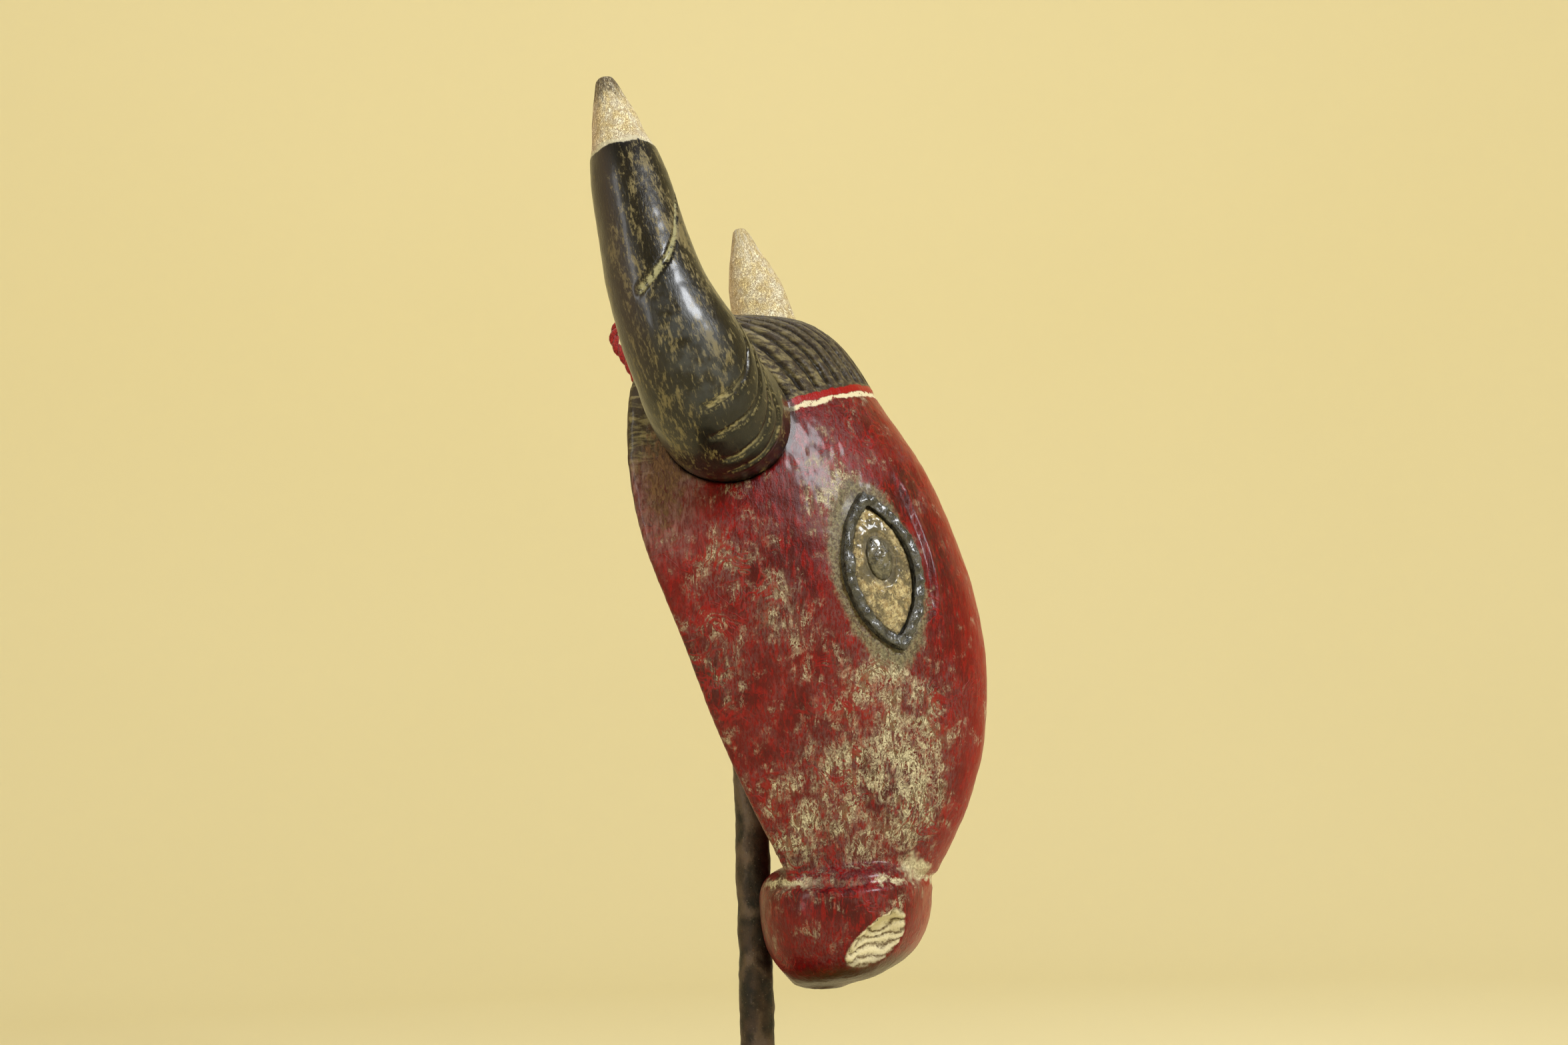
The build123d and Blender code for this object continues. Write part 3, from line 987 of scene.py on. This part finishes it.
def crescent_depth(along, angle):
    """The four cuts at the foot, which hook up towards the front."""
    hook = 7.0 * np.clip((40 - angle) / 30, 0, 2.4) ** 2 * 0.55
    low, high = CRESCENT_REACH
    ends = smooth_step(low, low + 16, angle) * (1 - smooth_step(high - 16, high, angle))
    depth = np.zeros(len(along))
    for index, place in enumerate(CRESCENTS):
        away = np.abs(along - place - hook) / (1.7 - 0.15 * index)
        depth = np.maximum(depth, np.clip(1 - away, 0, 1) * ends)
    return depth


def spiral_depth(along, angle):
    """The long cut half way up, steep at the front and flat at the outer side."""
    low, high = SPIRAL_REACH
    turn = np.clip((high - angle) / (high - 14), 0, 2)
    away = np.abs(along - 61.5 - 26 * turn ** 1.6) / 1.9
    ends = smooth_step(low, low + 12, angle) * (1 - smooth_step(high - 8, high, angle))
    return np.clip(1 - away, 0, 1) * ends


def make_horn(node, name, side, seed):
    """A horn with its cuts, its soft unevenness and its whittled tip."""
    piece, points, normals = skinned_copy(node, name, HORN_SKIN)
    along, angle = horn_places(points, side)
    clear = smooth_step(0, 2, along)
    wander = 1.1 * lumps(points, 9, seed)
    crescent = crescent_depth(along + wander, angle) * clear
    spiral = spiral_depth(along + wander, angle + 6 * lumps(points, 14, seed + 1))
    border = TIP_START[side] + 2.2 * lumps(points, 7, seed + 2) + 0.7 * lumps(points, 2.2, seed + 3)
    tip = along - border
    whittled = smooth_step(-0.3, 0.8, tip)
    flats = facets(points * np.array((1, 1, 0.45)), 5.5, seed)
    push = 0.28 * lumps(points, 15, seed + 4) * clear + 0.10 * lumps(points, 4, seed + 5) * clear
    push -= 1.25 * np.sqrt(crescent) * crescent ** 0.4 + 1.15 * np.sqrt(spiral)
    blunt = smooth_step(TIP_START[side] + 4, 134, along)
    push -= whittled * (0.45 + 0.55 * (0.5 - flats)) * (1 - blunt)
    push += blunt * (0.9 + 0.5 * (flats - 0.5))
    push = np.where(np.abs(points[:, 0]) < 67, 0, push)
    write_points(piece, points + normals * push[:, None])
    kept = {"cut": crescent, "spiral": spiral, "tip": tip, "along": along, "turn": angle}
    for key, values in kept.items():
        store(piece, key, values)
    round_place = np.radians(angle)
    unrolled = piece.data.attributes.new("unrolled", "FLOAT_VECTOR", "POINT")
    rolled = np.stack((15 * np.cos(round_place), 15 * np.sin(round_place), along + seed * 40), 1)
    unrolled.data.foreach_set("vector", (rolled * MM).ravel())
    return finish_mesh(piece, "mask", [node])


horn_left = make_horn("horn_left", "carved_horn_left", -1, 21)
horn_right = make_horn("horn_right", "carved_horn_right", 1, 37)

# %% [markdown]
# ## The horns: finish
# The horns are stained almost black, rubbed to a soft shine, and streaked with khaki where the
# stain is thin. The streaks run along the horn, so they read the unrolled coordinates that were
# kept with the cuts, and never slide across the bend.

# %% Horn finish
def horn_finish():
    """Black stain with khaki streaks, a painted sheen and highlight, pale filled cuts and a scraped tip."""
    finish = Finish("Stained horn")
    cover, mix, grain, stored = finish.cover, finish.mix, finish.grain, finish.stored
    unrolled = finish.node("Attribute", {"attribute_name": "unrolled"}, None, "Vector")
    along = stored("along")
    turn = stored("turn")
    streak = grain(3.0, 5.0, 0.68, 0.5, unrolled, 3.2)
    blotch = grain(17, 3.0, 0.6, 0.3, unrolled, 2.0)
    fine = grain(0.8, 4.0, 0.7, 0.2, unrolled, 2.5)
    thin = (streak * 0.7 + blotch * 0.6 + fine * 0.75).rise(1.04, 1.18)
    finish.color = mix(blotch.rise(), paint(9, 8, 7), paint(24, 20, 16))
    cover(thin * 0.72, paint(128, 116, 80))
    cover(fine.rise(0.62, 0.74) * streak.rise(0.45, 0.6) * 0.7, paint(160, 146, 104))

    # Painted sheen: a purple-grey band down the outer back of each horn, from half way up.
    behind = (1 - abs(turn - 128).rise(8, 40)) * (along.rise(30, 60))
    cover(behind * 0.32, paint(88, 74, 80))
    # Painted highlight: a soft bluish patch on the outer bend near the foot.
    painted_blue_highlight = (1 - abs(turn - 62).rise(14, 44)) * (1 - abs(along - 45).rise(8, 22))
    cover(painted_blue_highlight * 0.3 * grain(6, 3).rise(0.3, 0.6), paint(92, 98, 108))

    cut = stored("cut")
    filled = cut.rise(0.45, 0.85) * turn.rise(22, 60) * grain(3.5, 4, 0.7).rise(0.38, 0.52)
    cover(cut.rise(0.15, 0.6) * 0.65, paint(30, 26, 20))
    cover(filled * 0.75, paint(168, 158, 118))
    spiral = stored("spiral")
    packed = spiral.rise(0.12, 0.5) * grain(2.4, 4, 0.7).rise(0.36, 0.55)
    cover(packed * 0.9, paint(160, 156, 118))
    edge_dust = (spiral.most(cut)).rise(0.02, 0.2) * (1 - spiral.most(cut).rise(0.25, 0.5))
    cover(edge_dust * fine.rise(0.45, 0.6) * 0.6, paint(140, 130, 92))

    tip = stored("tip") + (fine - 0.5) * 1.2
    crackle = grain(1.7, 5.0, 0.7, 2.2, unrolled)
    lines = 1 - abs(crackle - 0.5).rise(0.015, 0.06)
    pale = mix(grain(5, 3, 0.6, 0, unrolled).rise(), paint(246, 228, 176), paint(255, 248, 222))
    pale = mix(abs(turn).rise(95, 150) * 0.55, pale, paint(238, 206, 190))
    pale = mix(lines * 0.75, pale, paint(142, 102, 58))
    burnt = (along + (grain(4, 4, 0.7, 0, unrolled) - 0.5) * 26).rise(131, 142)
    burnt = burnt * grain(1.4, 4, 0.7, 0.5, unrolled).rise(0.36, 0.5)
    burnt = burnt * (1 - finish.axis(0).rise(-40, 40))
    pale = mix(burnt * 0.85, pale, paint(66, 50, 32))
    scraped = tip.rise(0, 0.5)
    cover(scraped, pale)
    white_edge = (1 - abs(tip - 0.9).rise(0.6, 1.5))
    cover(white_edge * 0.85, paint(226, 218, 190))

    roughness = 0.27 + thin * 0.22 + scraped * 0.28 + packed * 0.3 + fine * 0.08
    base = finish.bump(fine * 0.6 + streak * 0.5, 0.4, 0.6)
    relief = finish.bump(scraped * (1 - lines) * 0.7 + scraped * 0.3, 0.3, 0.8, base)
    coat = (1 - scraped) * 0.3
    gloss = {"Coat Weight": coat, "Coat Roughness": 0.16, "Specular IOR Level": 0.3}
    return finish.surface(roughness, relief, gloss)


dress(horn_finish(), horn_left, horn_right)

# %% [markdown]
# ## The dowels
# A peg pins each horn to the head, and its end grain can be seen from inside the hollow. The CAD
# shape is right as it stands, so it only gets a wood finish with growth rings.

# %% Bare wood for the dowels
def dowel_finish():
    """Pale bare wood with straight grain along the peg."""
    finish = Finish("Bare wood")
    rings = finish.grain(1.4, 5.0, 0.6, 0.8, finish.stretched(7, 1, 1))
    finish.color = finish.mix(rings.rise(), paint(120, 84, 48), paint(176, 136, 88))
    finish.cover(finish.grain(9, 3).rise(0.5, 0.75) * 0.5, paint(74, 50, 32))
    return finish.surface(0.68, finish.bump(rings, 0.25, 0.5))


dress(dowel_finish(), "horn_dowel_left", "horn_dowel_right")

# %% [markdown]
# ## The eyes
# Each eye is a pale inlay with a glossy dark pupil, set in a bead of black pitch that was pressed
# round it by thumb. A swept bead would be too regular, so the CAD ring is remeshed and pushed into
# lumps. The inlay is domed in the same way, and the pupil is a smooth polished drop.

# %% How deep an eye is pressed into its pocket
PRESS_DEPTH = 3.2
PRESS_LEAN = 0.13
PRESS_FORWARD = 1.5


def pressed_in(points, side, lift):
    """Eye points lifted, then pushed down to follow the cheek, most at the upper corner."""
    middle, forward_way, along_way, out_way = eye_axes(side)
    points = points + out_way * lift[:, None]
    along = (points - middle) @ along_way
    depth = PRESS_DEPTH + PRESS_LEAN * np.maximum(along - 5, 0)
    return points - out_way * depth[:, None] + forward_way * PRESS_FORWARD


# %% Pitch rims
RIM_SKIN = 0.52 * MM


def make_eye_rim(node, name, side, seed):
    """A lumpy bead: high along its middle, thin at its edges, with a blob at each end."""
    piece, points, normals = skinned_copy(node, name, RIM_SKIN)
    forward, along, out = eye_places(points, side)
    reach = almond_reach(forward, along)
    crown = np.clip(1 - ((reach - 0.86) / 0.20) ** 2, 0, 1)
    proud = smooth_step(-1.5, 0.5, out)
    behind = smooth_step(2, 12, -forward)
    blobs = np.exp(-((np.abs(along) - 29) / 3.4) ** 2)
    lift = proud * (1.5 * crown - 0.9 + 0.5 * behind * crown + 0.9 * blobs)
    lump = 0.95 * lumps(points, 4.6, seed) + 0.70 * lumps(points, 2.4, seed + 1)
    lump += 0.26 * lumps(points, 1.2, seed + 2)
    top = np.clip(normals @ eye_axes(side)[3], 0, 1)
    walls = np.where(reach < 0.86, -0.75, -0.35) - 0.75 * (forward > 2) * (reach > 0.86)
    sideways = proud * (1 - top) * (walls + 0.4 * lump) + proud * top * lump
    write_points(piece, pressed_in(points + normals * sideways[:, None], side, lift))
    return finish_mesh(piece, "mask", [node])


rim_left = make_eye_rim("eye_rim_left", "pitch_rim_left", -1, 51)
rim_right = make_eye_rim("eye_rim_right", "pitch_rim_right", 1, 57)


# %% Domed inlays and polished pupils
INLAY_SKIN = 0.6 * MM


def make_inlay(node, name, side, seed):
    """The pale plate of an eye, domed and pitted, with a dip round the pupil."""
    piece = merged_copy(node, name)
    even_skin(piece, INLAY_SKIN)
    points = read_points(piece)
    forward, along, out = eye_places(points, side)
    top = smooth_step(-2.6, -0.8, out)
    dome = np.clip(1 - (forward / 12) ** 2 - (along / 26) ** 2, 0, 1)
    pupil = np.hypot(forward / 6.2, (along - 5) / 9.6)
    clear = smooth_step(0.95, 1.15, pupil)
    swell = 0.45 * lumps(points, 4.2, seed) + 0.40 * lumps(points, 1.8, seed + 1)
    lift = top * (clear * (2.1 * dome ** 0.8 + swell) + (1 - clear) * 0.4)
    write_points(piece, pressed_in(points, side, lift))
    store(piece, "dome", dome)
    store(piece, "pupil", pupil)
    return finish_mesh(piece, "mask", [node])


def make_pupil(node, name, side, seed):
    """The pupil as a drop of glaze: the CAD dome, rounded off, and uneven as it dried."""
    piece = merged_copy(node, name)
    even_skin(piece, 0.42 * MM)
    relax = piece.modifiers.new("Round", "SMOOTH")
    relax.factor = 0.5
    relax.iterations = 6
    apply_modifier(piece, relax)
    points = read_points(piece)
    swell = 0.9 + 0.55 * lumps(points, 3.2, seed) + 0.22 * lumps(points, 1.4, seed + 1)
    write_points(piece, pressed_in(points, side, swell))
    return finish_mesh(piece, "mask", [node])


inlay_left = make_inlay("eye_inlay_left", "domed_inlay_left", -1, 61)
inlay_right = make_inlay("eye_inlay_right", "domed_inlay_right", 1, 67)
pupil_left = make_pupil("pupil_left", "polished_pupil_left", -1, 69)
pupil_right = make_pupil("pupil_right", "polished_pupil_right", 1, 73)


# %% Eye finishes
def pitch_finish():
    """Black pitch with a hard shine, dusty in its hollows."""
    finish = Finish("Black pitch")
    grain = finish.grain
    soft = grain(4, 4, 0.65)
    finish.color = finish.mix(soft.rise(), paint(20, 20, 22), paint(74, 74, 72))
    dust = grain(1.3, 4, 0.7).rise(0.58, 0.7)
    finish.cover(dust * 0.55, paint(128, 122, 98))
    relief = finish.bump(grain(1.5, 4, 0.65), 0.7, 0.8)
    return finish.surface(0.18 + dust * 0.35, relief, {"Coat Weight": 0.5, "Coat Roughness": 0.08})


def inlay_finish():
    """Golden cream with gilt glints and brown specks, darker towards the edge."""
    finish = Finish("Golden inlay")
    cover, grain = finish.cover, finish.grain
    speck = grain(0.9, 5, 0.78, 0.8)
    cloud = grain(5, 5, 0.7, 0.6)
    pale = finish.mix(grain(1.6, 5, 0.75).rise(0.4, 0.6), paint(150, 126, 82), paint(204, 188, 142))
    finish.color = finish.mix(cloud.rise(0.42, 0.58), paint(104, 92, 62), pale)
    cover(speck.rise(0.54, 0.60) * 0.9, paint(64, 46, 28))
    glint = grain(0.8, 4, 0.7, 0.5).rise(0.60, 0.66)
    cover(glint * 0.8, paint(226, 206, 142))
    # Darker towards the inlay's edge.
    inlay_edge_dark = 1 - (finish.stored("dome") + (cloud - 0.5) * 0.3).rise(0.03, 0.3)
    cover(inlay_edge_dark * 0.6, paint(78, 62, 40))
    ring = 1 - (finish.stored("pupil") + (cloud - 0.5) * 1.6).rise(0.9, 1.5)
    cover(ring * 0.75, paint(78, 72, 56))
    relief = finish.bump(speck * 0.5 + cloud * 0.8, 0.8, 0.9)
    shader = {"Metallic": glint * 0.5, "Coat Weight": 0.5, "Coat Roughness": 0.12}
    return finish.surface(0.4 - glint * 0.15, relief, shader)


def pupil_finish():
    """A dark grey glassy drop, with faint smoke in it."""
    finish = Finish("Dark glaze")
    smoke = finish.grain(3.0, 5, 0.7, 0.8)
    finish.color = finish.mix(smoke.rise(), paint(34, 32, 28), paint(104, 98, 78))
    relief = finish.bump(finish.grain(1.8, 4, 0.65), 0.7, 0.8)
    return finish.surface(0.12, relief, {"Coat Weight": 0.8, "Coat Roughness": 0.06})


dress(pitch_finish(), rim_left, rim_right)
dress(inlay_finish(), inlay_left, inlay_right)
dress(pupil_finish(), pupil_left, pupil_right)

# %% [markdown]
# ## The iron stand
# The post is a hand-worked bar: hammer flats, a waxed black scale worn to brown, and specks of
# rust. Bending or twisting it would change its size, so it keeps the CAD line, and only its skin
# is dented. The collar and the foot plate were forged by the same hand and get the same marks.

# %% Hammered iron parts
def hammer(piece, flat_size, depth, seed, keep=None):
    """Dent a piece with soft overlapping hammer flats, and leave kept points alone."""
    points = read_points(piece)
    normals = read_normals(piece)
    dents = facets(points * np.array((1, 1, 0.8)), flat_size, seed) - 0.45
    fine = lumps(points, 3.0, seed + 1)
    push = -depth * (1 - np.clip(dents + 0.45, 0, 1)) + 0.22 * depth * fine
    if keep is not None:
        push = push * keep(points)
    write_points(piece, points + normals * push[:, None])
    store(piece, "dent", dents)


def post_keep(points):
    """Leave the bores and the post's two ends true."""
    low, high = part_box("post")
    away = np.hypot(points[:, 0], points[:, 1])
    ends = smooth_step(0, 1.5, points[:, 2] - low.z / MM) * smooth_step(0, 1.5, high.z / MM - points[:, 2])
    return smooth_step(5.5, 6.6, away) * ends


post = merged_copy("post", "hammered_post")
even_skin(post, 0.95 * MM)
hammer(post, 9.5, 1.0, 71, post_keep)
finish_mesh(post, "stand", ["post"])


def make_collar():
    """The forged ring at the post's foot, with a filed edge."""
    piece = merged_copy("post_collar", "forged_collar")
    even_skin(piece, 0.8 * MM)
    hammer(piece, 6.5, 0.45, 77, lambda points: smooth_step(7.6, 9.0, np.hypot(points[:, 0], points[:, 1])))
    return finish_mesh(piece, "stand", ["post_collar"])


def plate_keep(points):
    """Leave the plate's underside and the screw's bore true."""
    low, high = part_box("base_plate")
    off_floor = smooth_step(0.6, 2.5, points[:, 2] - low.z / MM)
    return off_floor * smooth_step(12, 16, np.hypot(points[:, 0], points[:, 1]))


def make_plate():
    """The foot plate, planished with a broad hammer."""
    piece = merged_copy("base_plate", "planished_plate")
    even_skin(piece, 1.5 * MM)
    hammer(piece, 13.0, 0.55, 79, plate_keep)
    return finish_mesh(piece, "stand", ["base_plate"])


collar = make_collar()
plate = make_plate()

# %% Iron finish
def iron_finish():
    """Waxed black scale, worn brown on the high marks, with rust specks and pits."""
    finish = Finish("Hammered iron")
    cover, grain = finish.cover, finish.grain
    dent = finish.stored("dent")
    cloud = grain(9, 4.0, 0.65)
    speck = grain(1.3, 5.0, 0.75)
    high = (dent + (speck - 0.5) * 0.5).rise(0.02, 0.3)
    finish.color = finish.mix(cloud.rise(), paint(20, 15, 13), paint(66, 50, 42))
    cover(high * 0.7, paint(112, 96, 86))
    cover(speck.rise(0.58, 0.68) * cloud.rise(0.4, 0.6) * 0.75, paint(104, 66, 44))
    cover(grain(0.7, 3).rise(0.66, 0.72) * 0.6, paint(138, 128, 118))
    pits = finish.bump(speck * 0.6 + grain(3.2, 4, 0.7) * 0.8, 0.5, 0.75)
    roughness = 0.30 + cloud * 0.2 + speck * 0.15
    return finish.surface(roughness, pits, {"Metallic": 0.35 + high * 0.3})


dress(iron_finish(), post, collar, plate)

# %% [markdown]
# ## Felt, screw and pivot
# The felt is pressed wool, dull and slightly fuzzy, so it needs fibres and no shine. The screw
# and the pivot are turned steel, and the CAD shapes are right as they are: fine rings from the lathe
# are only a matter of finish.

# %% A cut felt sheet
FELT_FUZZ = 0.12


def make_felt():
    """The felt under the plate: the CAD outline, with a soft, slightly wavy edge."""
    piece, points, normals = skinned_copy("base_felt", "cut_felt", 1.3 * MM)
    low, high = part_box("base_felt")
    edge = smooth_step(0.1, 0.8, points[:, 2] - low.z / MM)
    push = FELT_FUZZ * lumps(points, 4, 83) * edge * (1 - np.abs(normals[:, 2]))
    write_points(piece, points + normals * push[:, None])
    return finish_mesh(piece, "stand", ["base_felt"])


def felt_finish():
    """Dark green-grey pressed wool."""
    finish = Finish("Pressed felt")
    fibre = finish.grain(0.7, 5.0, 0.8, 1.5)
    finish.color = finish.mix(fibre.rise(), paint(34, 40, 34), paint(72, 80, 70))
    finish.cover(finish.grain(12, 3).rise(0.4, 0.7) * 0.3, paint(50, 56, 50))
    return finish.surface(0.95, finish.bump(fibre, 0.3, 0.8), {"Sheen Weight": 0.4})


felt = make_felt()
dress(felt_finish(), felt)

# %% Turned steel
def steel_finish(name, dark, light, size):
    """Turned steel: fine rings round Z, with finger-dulled patches."""
    finish = Finish(name)
    rings = finish.grain(size, 4.0, 0.6, 0.1, finish.stretched(6, 6, 0.35))
    dull = finish.grain(6, 4.0, 0.6)
    finish.color = finish.mix(rings.rise(), dark, light)
    finish.cover(dull.rise(0.5, 0.75) * 0.4, paint(96, 90, 84))
    roughness = 0.26 + dull * 0.2 + rings * 0.08
    return finish.surface(roughness, finish.bump(rings, 0.08, 0.5), {"Metallic": 0.9})


dress(steel_finish("Screw steel", paint(120, 120, 122), paint(178, 178, 178), 1.0), "post_screw")
dress(steel_finish("Pivot steel", paint(92, 90, 88), paint(140, 138, 134), 1.4), "rest_pin")

# %% [markdown]
# ## The leather pad
# Inside the crown the mask rests on a round leather pad, held with two brass rivets. Under the
# weight of the head it has settled a little: its top dips round each rivet. It is a disc from a
# primitive, bevelled, subdivided and pressed in code.

# %% A pressed leather pad
PAD_PRESS = 0.35


def make_pad():
    """A leather disc: rounded edge, a dimple round each rivet."""
    low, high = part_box("rest_pad")
    middle = (low + high) / 2
    radius = (high.x - low.x) / 2
    thick = high.z - low.z
    bpy.ops.object.select_all(action="DESELECT")
    bpy.ops.mesh.primitive_cylinder_add(vertices=64, radius=radius, depth=thick, location=middle)
    bpy.ops.object.transform_apply(location=True)
    piece = bpy.context.active_object
    piece.name = "leather_pad"
    bpy.ops.object.mode_set(mode="EDIT")
    bpy.ops.mesh.select_all(action="SELECT")
    bpy.ops.mesh.normals_make_consistent(inside=False)
    bpy.ops.object.mode_set(mode="OBJECT")
    edge = piece.modifiers.new("Edge", "BEVEL")
    edge.width = 0.9 * MM
    edge.segments = 4
    edge.angle_limit = math.radians(40)
    apply_modifier(piece, edge)
    even_skin(piece, 0.35 * MM)
    points = read_points(piece)
    normals = read_normals(piece)
    spots = [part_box(name) for name in ("rest_rivet_1", "rest_rivet_2")]
    rivet_away = np.full(len(points), 99.0)
    for spot_low, spot_high in spots:
        spot = np.array((spot_low + spot_high) / 2) / MM
        rivet_away = np.minimum(rivet_away, np.hypot(points[:, 0] - spot[0], points[:, 1] - spot[1]))
    up = np.clip(normals[:, 2], 0, 1)
    side = 1 - np.abs(normals[:, 2])
    dimple = np.exp(-((rivet_away - 2.2) / 0.9) ** 2)
    push = -up * PAD_PRESS * dimple + 0.10 * (lumps(points, 2.6, 91) - 1) * (up + side)
    write_points(piece, points + normals * push[:, None])
    store(piece, "rivet_away", rivet_away)
    return finish_mesh(piece, "rest", ["rest_pad"])


def leather_finish():
    """Brown vegetable-tanned leather: pebbled, darker round the rivets."""
    finish = Finish("Brown leather")
    pebble = finish.cracks(0.8)
    cloud = finish.grain(4, 4, 0.6)
    finish.color = finish.mix(cloud.rise(), paint(74, 42, 22), paint(122, 76, 42))
    finish.cover((1 - pebble.rise(0.0, 0.12)) * 0.6, paint(40, 22, 12))
    near = 1 - finish.stored("rivet_away").rise(1.6, 3.4)
    finish.cover(near * 0.5, paint(36, 22, 14))
    relief = finish.bump(pebble.rise(0.0, 0.2), 0.12, 0.7)
    return finish.surface(0.55 + cloud * 0.15, relief)


pad = make_pad()
dress(leather_finish(), pad)


def brass_finish():
    """Old brass: warm, with brown tarnish and fine scratches."""
    finish = Finish("Old brass")
    tarnish = finish.grain(1.6, 4, 0.65)
    scratch = finish.grain(0.5, 3, 0.6, 0, finish.stretched(5, 1, 1))
    finish.color = finish.mix(tarnish.rise(0.4, 0.65), paint(176, 138, 66), paint(104, 76, 38))
    relief = finish.bump(scratch, 0.05, 0.5)
    return finish.surface(0.3 + tarnish * 0.25, relief, {"Metallic": 0.95})


dress(brass_finish(), "rest_rivet_1", "rest_rivet_2")

# %% [markdown]
# ## The room
# The background is one pale sweep, as in a photographer's studio. A flat backdrop would only work
# from one side, so the sweep is a round bowl: a floor that curves up into a wall, modelled from
# one circle whose edge is extruded again and again.

# %% A round sweep of pale paper
FLOOR_RADIUS = 1.15
COVE_RADIUS = 0.8
WALL_TOP = 2.6
COVE_STEPS = 14


def make_room():
    """A floor that curves up into a wall all the way round."""
    bpy.ops.object.select_all(action="DESELECT")
    bpy.ops.mesh.primitive_circle_add(vertices=128, radius=FLOOR_RADIUS, fill_type="NGON")
    room = bpy.context.active_object
    room.name = "Room"
    bpy.ops.object.mode_set(mode="EDIT")
    bpy.ops.mesh.select_all(action="SELECT")
    reach = FLOOR_RADIUS
    rise = 0.0
    for step in range(1, COVE_STEPS + 2):
        angle = math.radians(90) * min(step, COVE_STEPS) / COVE_STEPS
        new_reach = FLOOR_RADIUS + COVE_RADIUS * math.sin(angle)
        new_rise = COVE_RADIUS * (1 - math.cos(angle)) if step <= COVE_STEPS else WALL_TOP
        bpy.ops.mesh.extrude_region_move(TRANSFORM_OT_translate={"value": (0, 0, new_rise - rise)})
        if step == 1:
            bpy.ops.mesh.select_mode(type="FACE")
        factor = new_reach / reach
        bpy.ops.transform.resize(value=(factor, factor, 1), center_override=(0, 0, 0))
        reach = new_reach
        rise = new_rise
    bpy.ops.mesh.delete(type="FACE")
    bpy.ops.object.mode_set(mode="OBJECT")
    bpy.ops.object.shade_smooth()
    return room


def room_finish():
    """Pale straw-coloured paper with a trace of unevenness."""
    finish = Finish("Straw paper")
    cloud = finish.grain(900, 2.0)
    finish.color = finish.mix(cloud.rise(0.3, 0.7) * 0.5, paint(238, 228, 186), paint(242, 232, 192))
    return finish.surface(0.9, finish.bump(finish.grain(2), 0.02, 0.2), {"Specular IOR Level": 0.1})


room = make_room()
dress(room_finish(), room)
print("the room's floor is", FLOOR_RADIUS, "m in radius before it curves up")

# %% [markdown]
# ## Light
# Hard light would hide the worn paint under glare, so soft panels are used. The key stands high in
# front, a tall narrow one at the back of the same side draws the long highlights on the horns, a
# wide one overhead softens the shadows, and the last lights the paper. The world adds a faint fill.

# %% Lamps and sky
def add_panel(name, place, aim, size, power, color):
    """A soft rectangular light at a place, turned to face a point."""
    lamp = bpy.data.lights.new(name, "AREA")
    lamp.shape = "RECTANGLE"
    lamp.size, lamp.size_y = size
    lamp.energy = power
    lamp.color = color
    panel = bpy.data.objects.new(name, lamp)
    bpy.context.scene.collection.objects.link(panel)
    panel.location = place
    panel.rotation_euler = (Vector(aim) - Vector(place)).to_track_quat("-Z", "Y").to_euler()
    return panel


FACE_MIDDLE = (0, -0.03, 0.23)
WARM_WHITE = (1.0, 0.93, 0.82)
COOL_WHITE = (0.93, 0.96, 1.0)
add_panel("Key", (-0.75, -1.05, 1.05), FACE_MIDDLE, (0.35, 0.45), 19, COOL_WHITE)
add_panel("Side", (-1.15, 0.75, 0.65), FACE_MIDDLE, (0.25, 0.9), 4.5, COOL_WHITE)
add_panel("Top", (0, 0, 2.3), (0, 0, 0), (1.6, 1.6), 4, WARM_WHITE)
add_panel("Wall", (0.55, 0, 2.0), (1.9, 0.7, 0.3), (1.2, 1.2), 10.3, (1.0, 0.95, 0.86))


def make_sky(strength):
    """An even sky that fills the shadows."""
    world = bpy.data.worlds.new("Sky")
    world.use_nodes = True
    background = world.node_tree.nodes["Background"]
    background.inputs["Color"].default_value = (1.0, 0.97, 0.92, 1)
    background.inputs["Strength"].default_value = strength
    bpy.context.scene.world = world


make_sky(0.13)
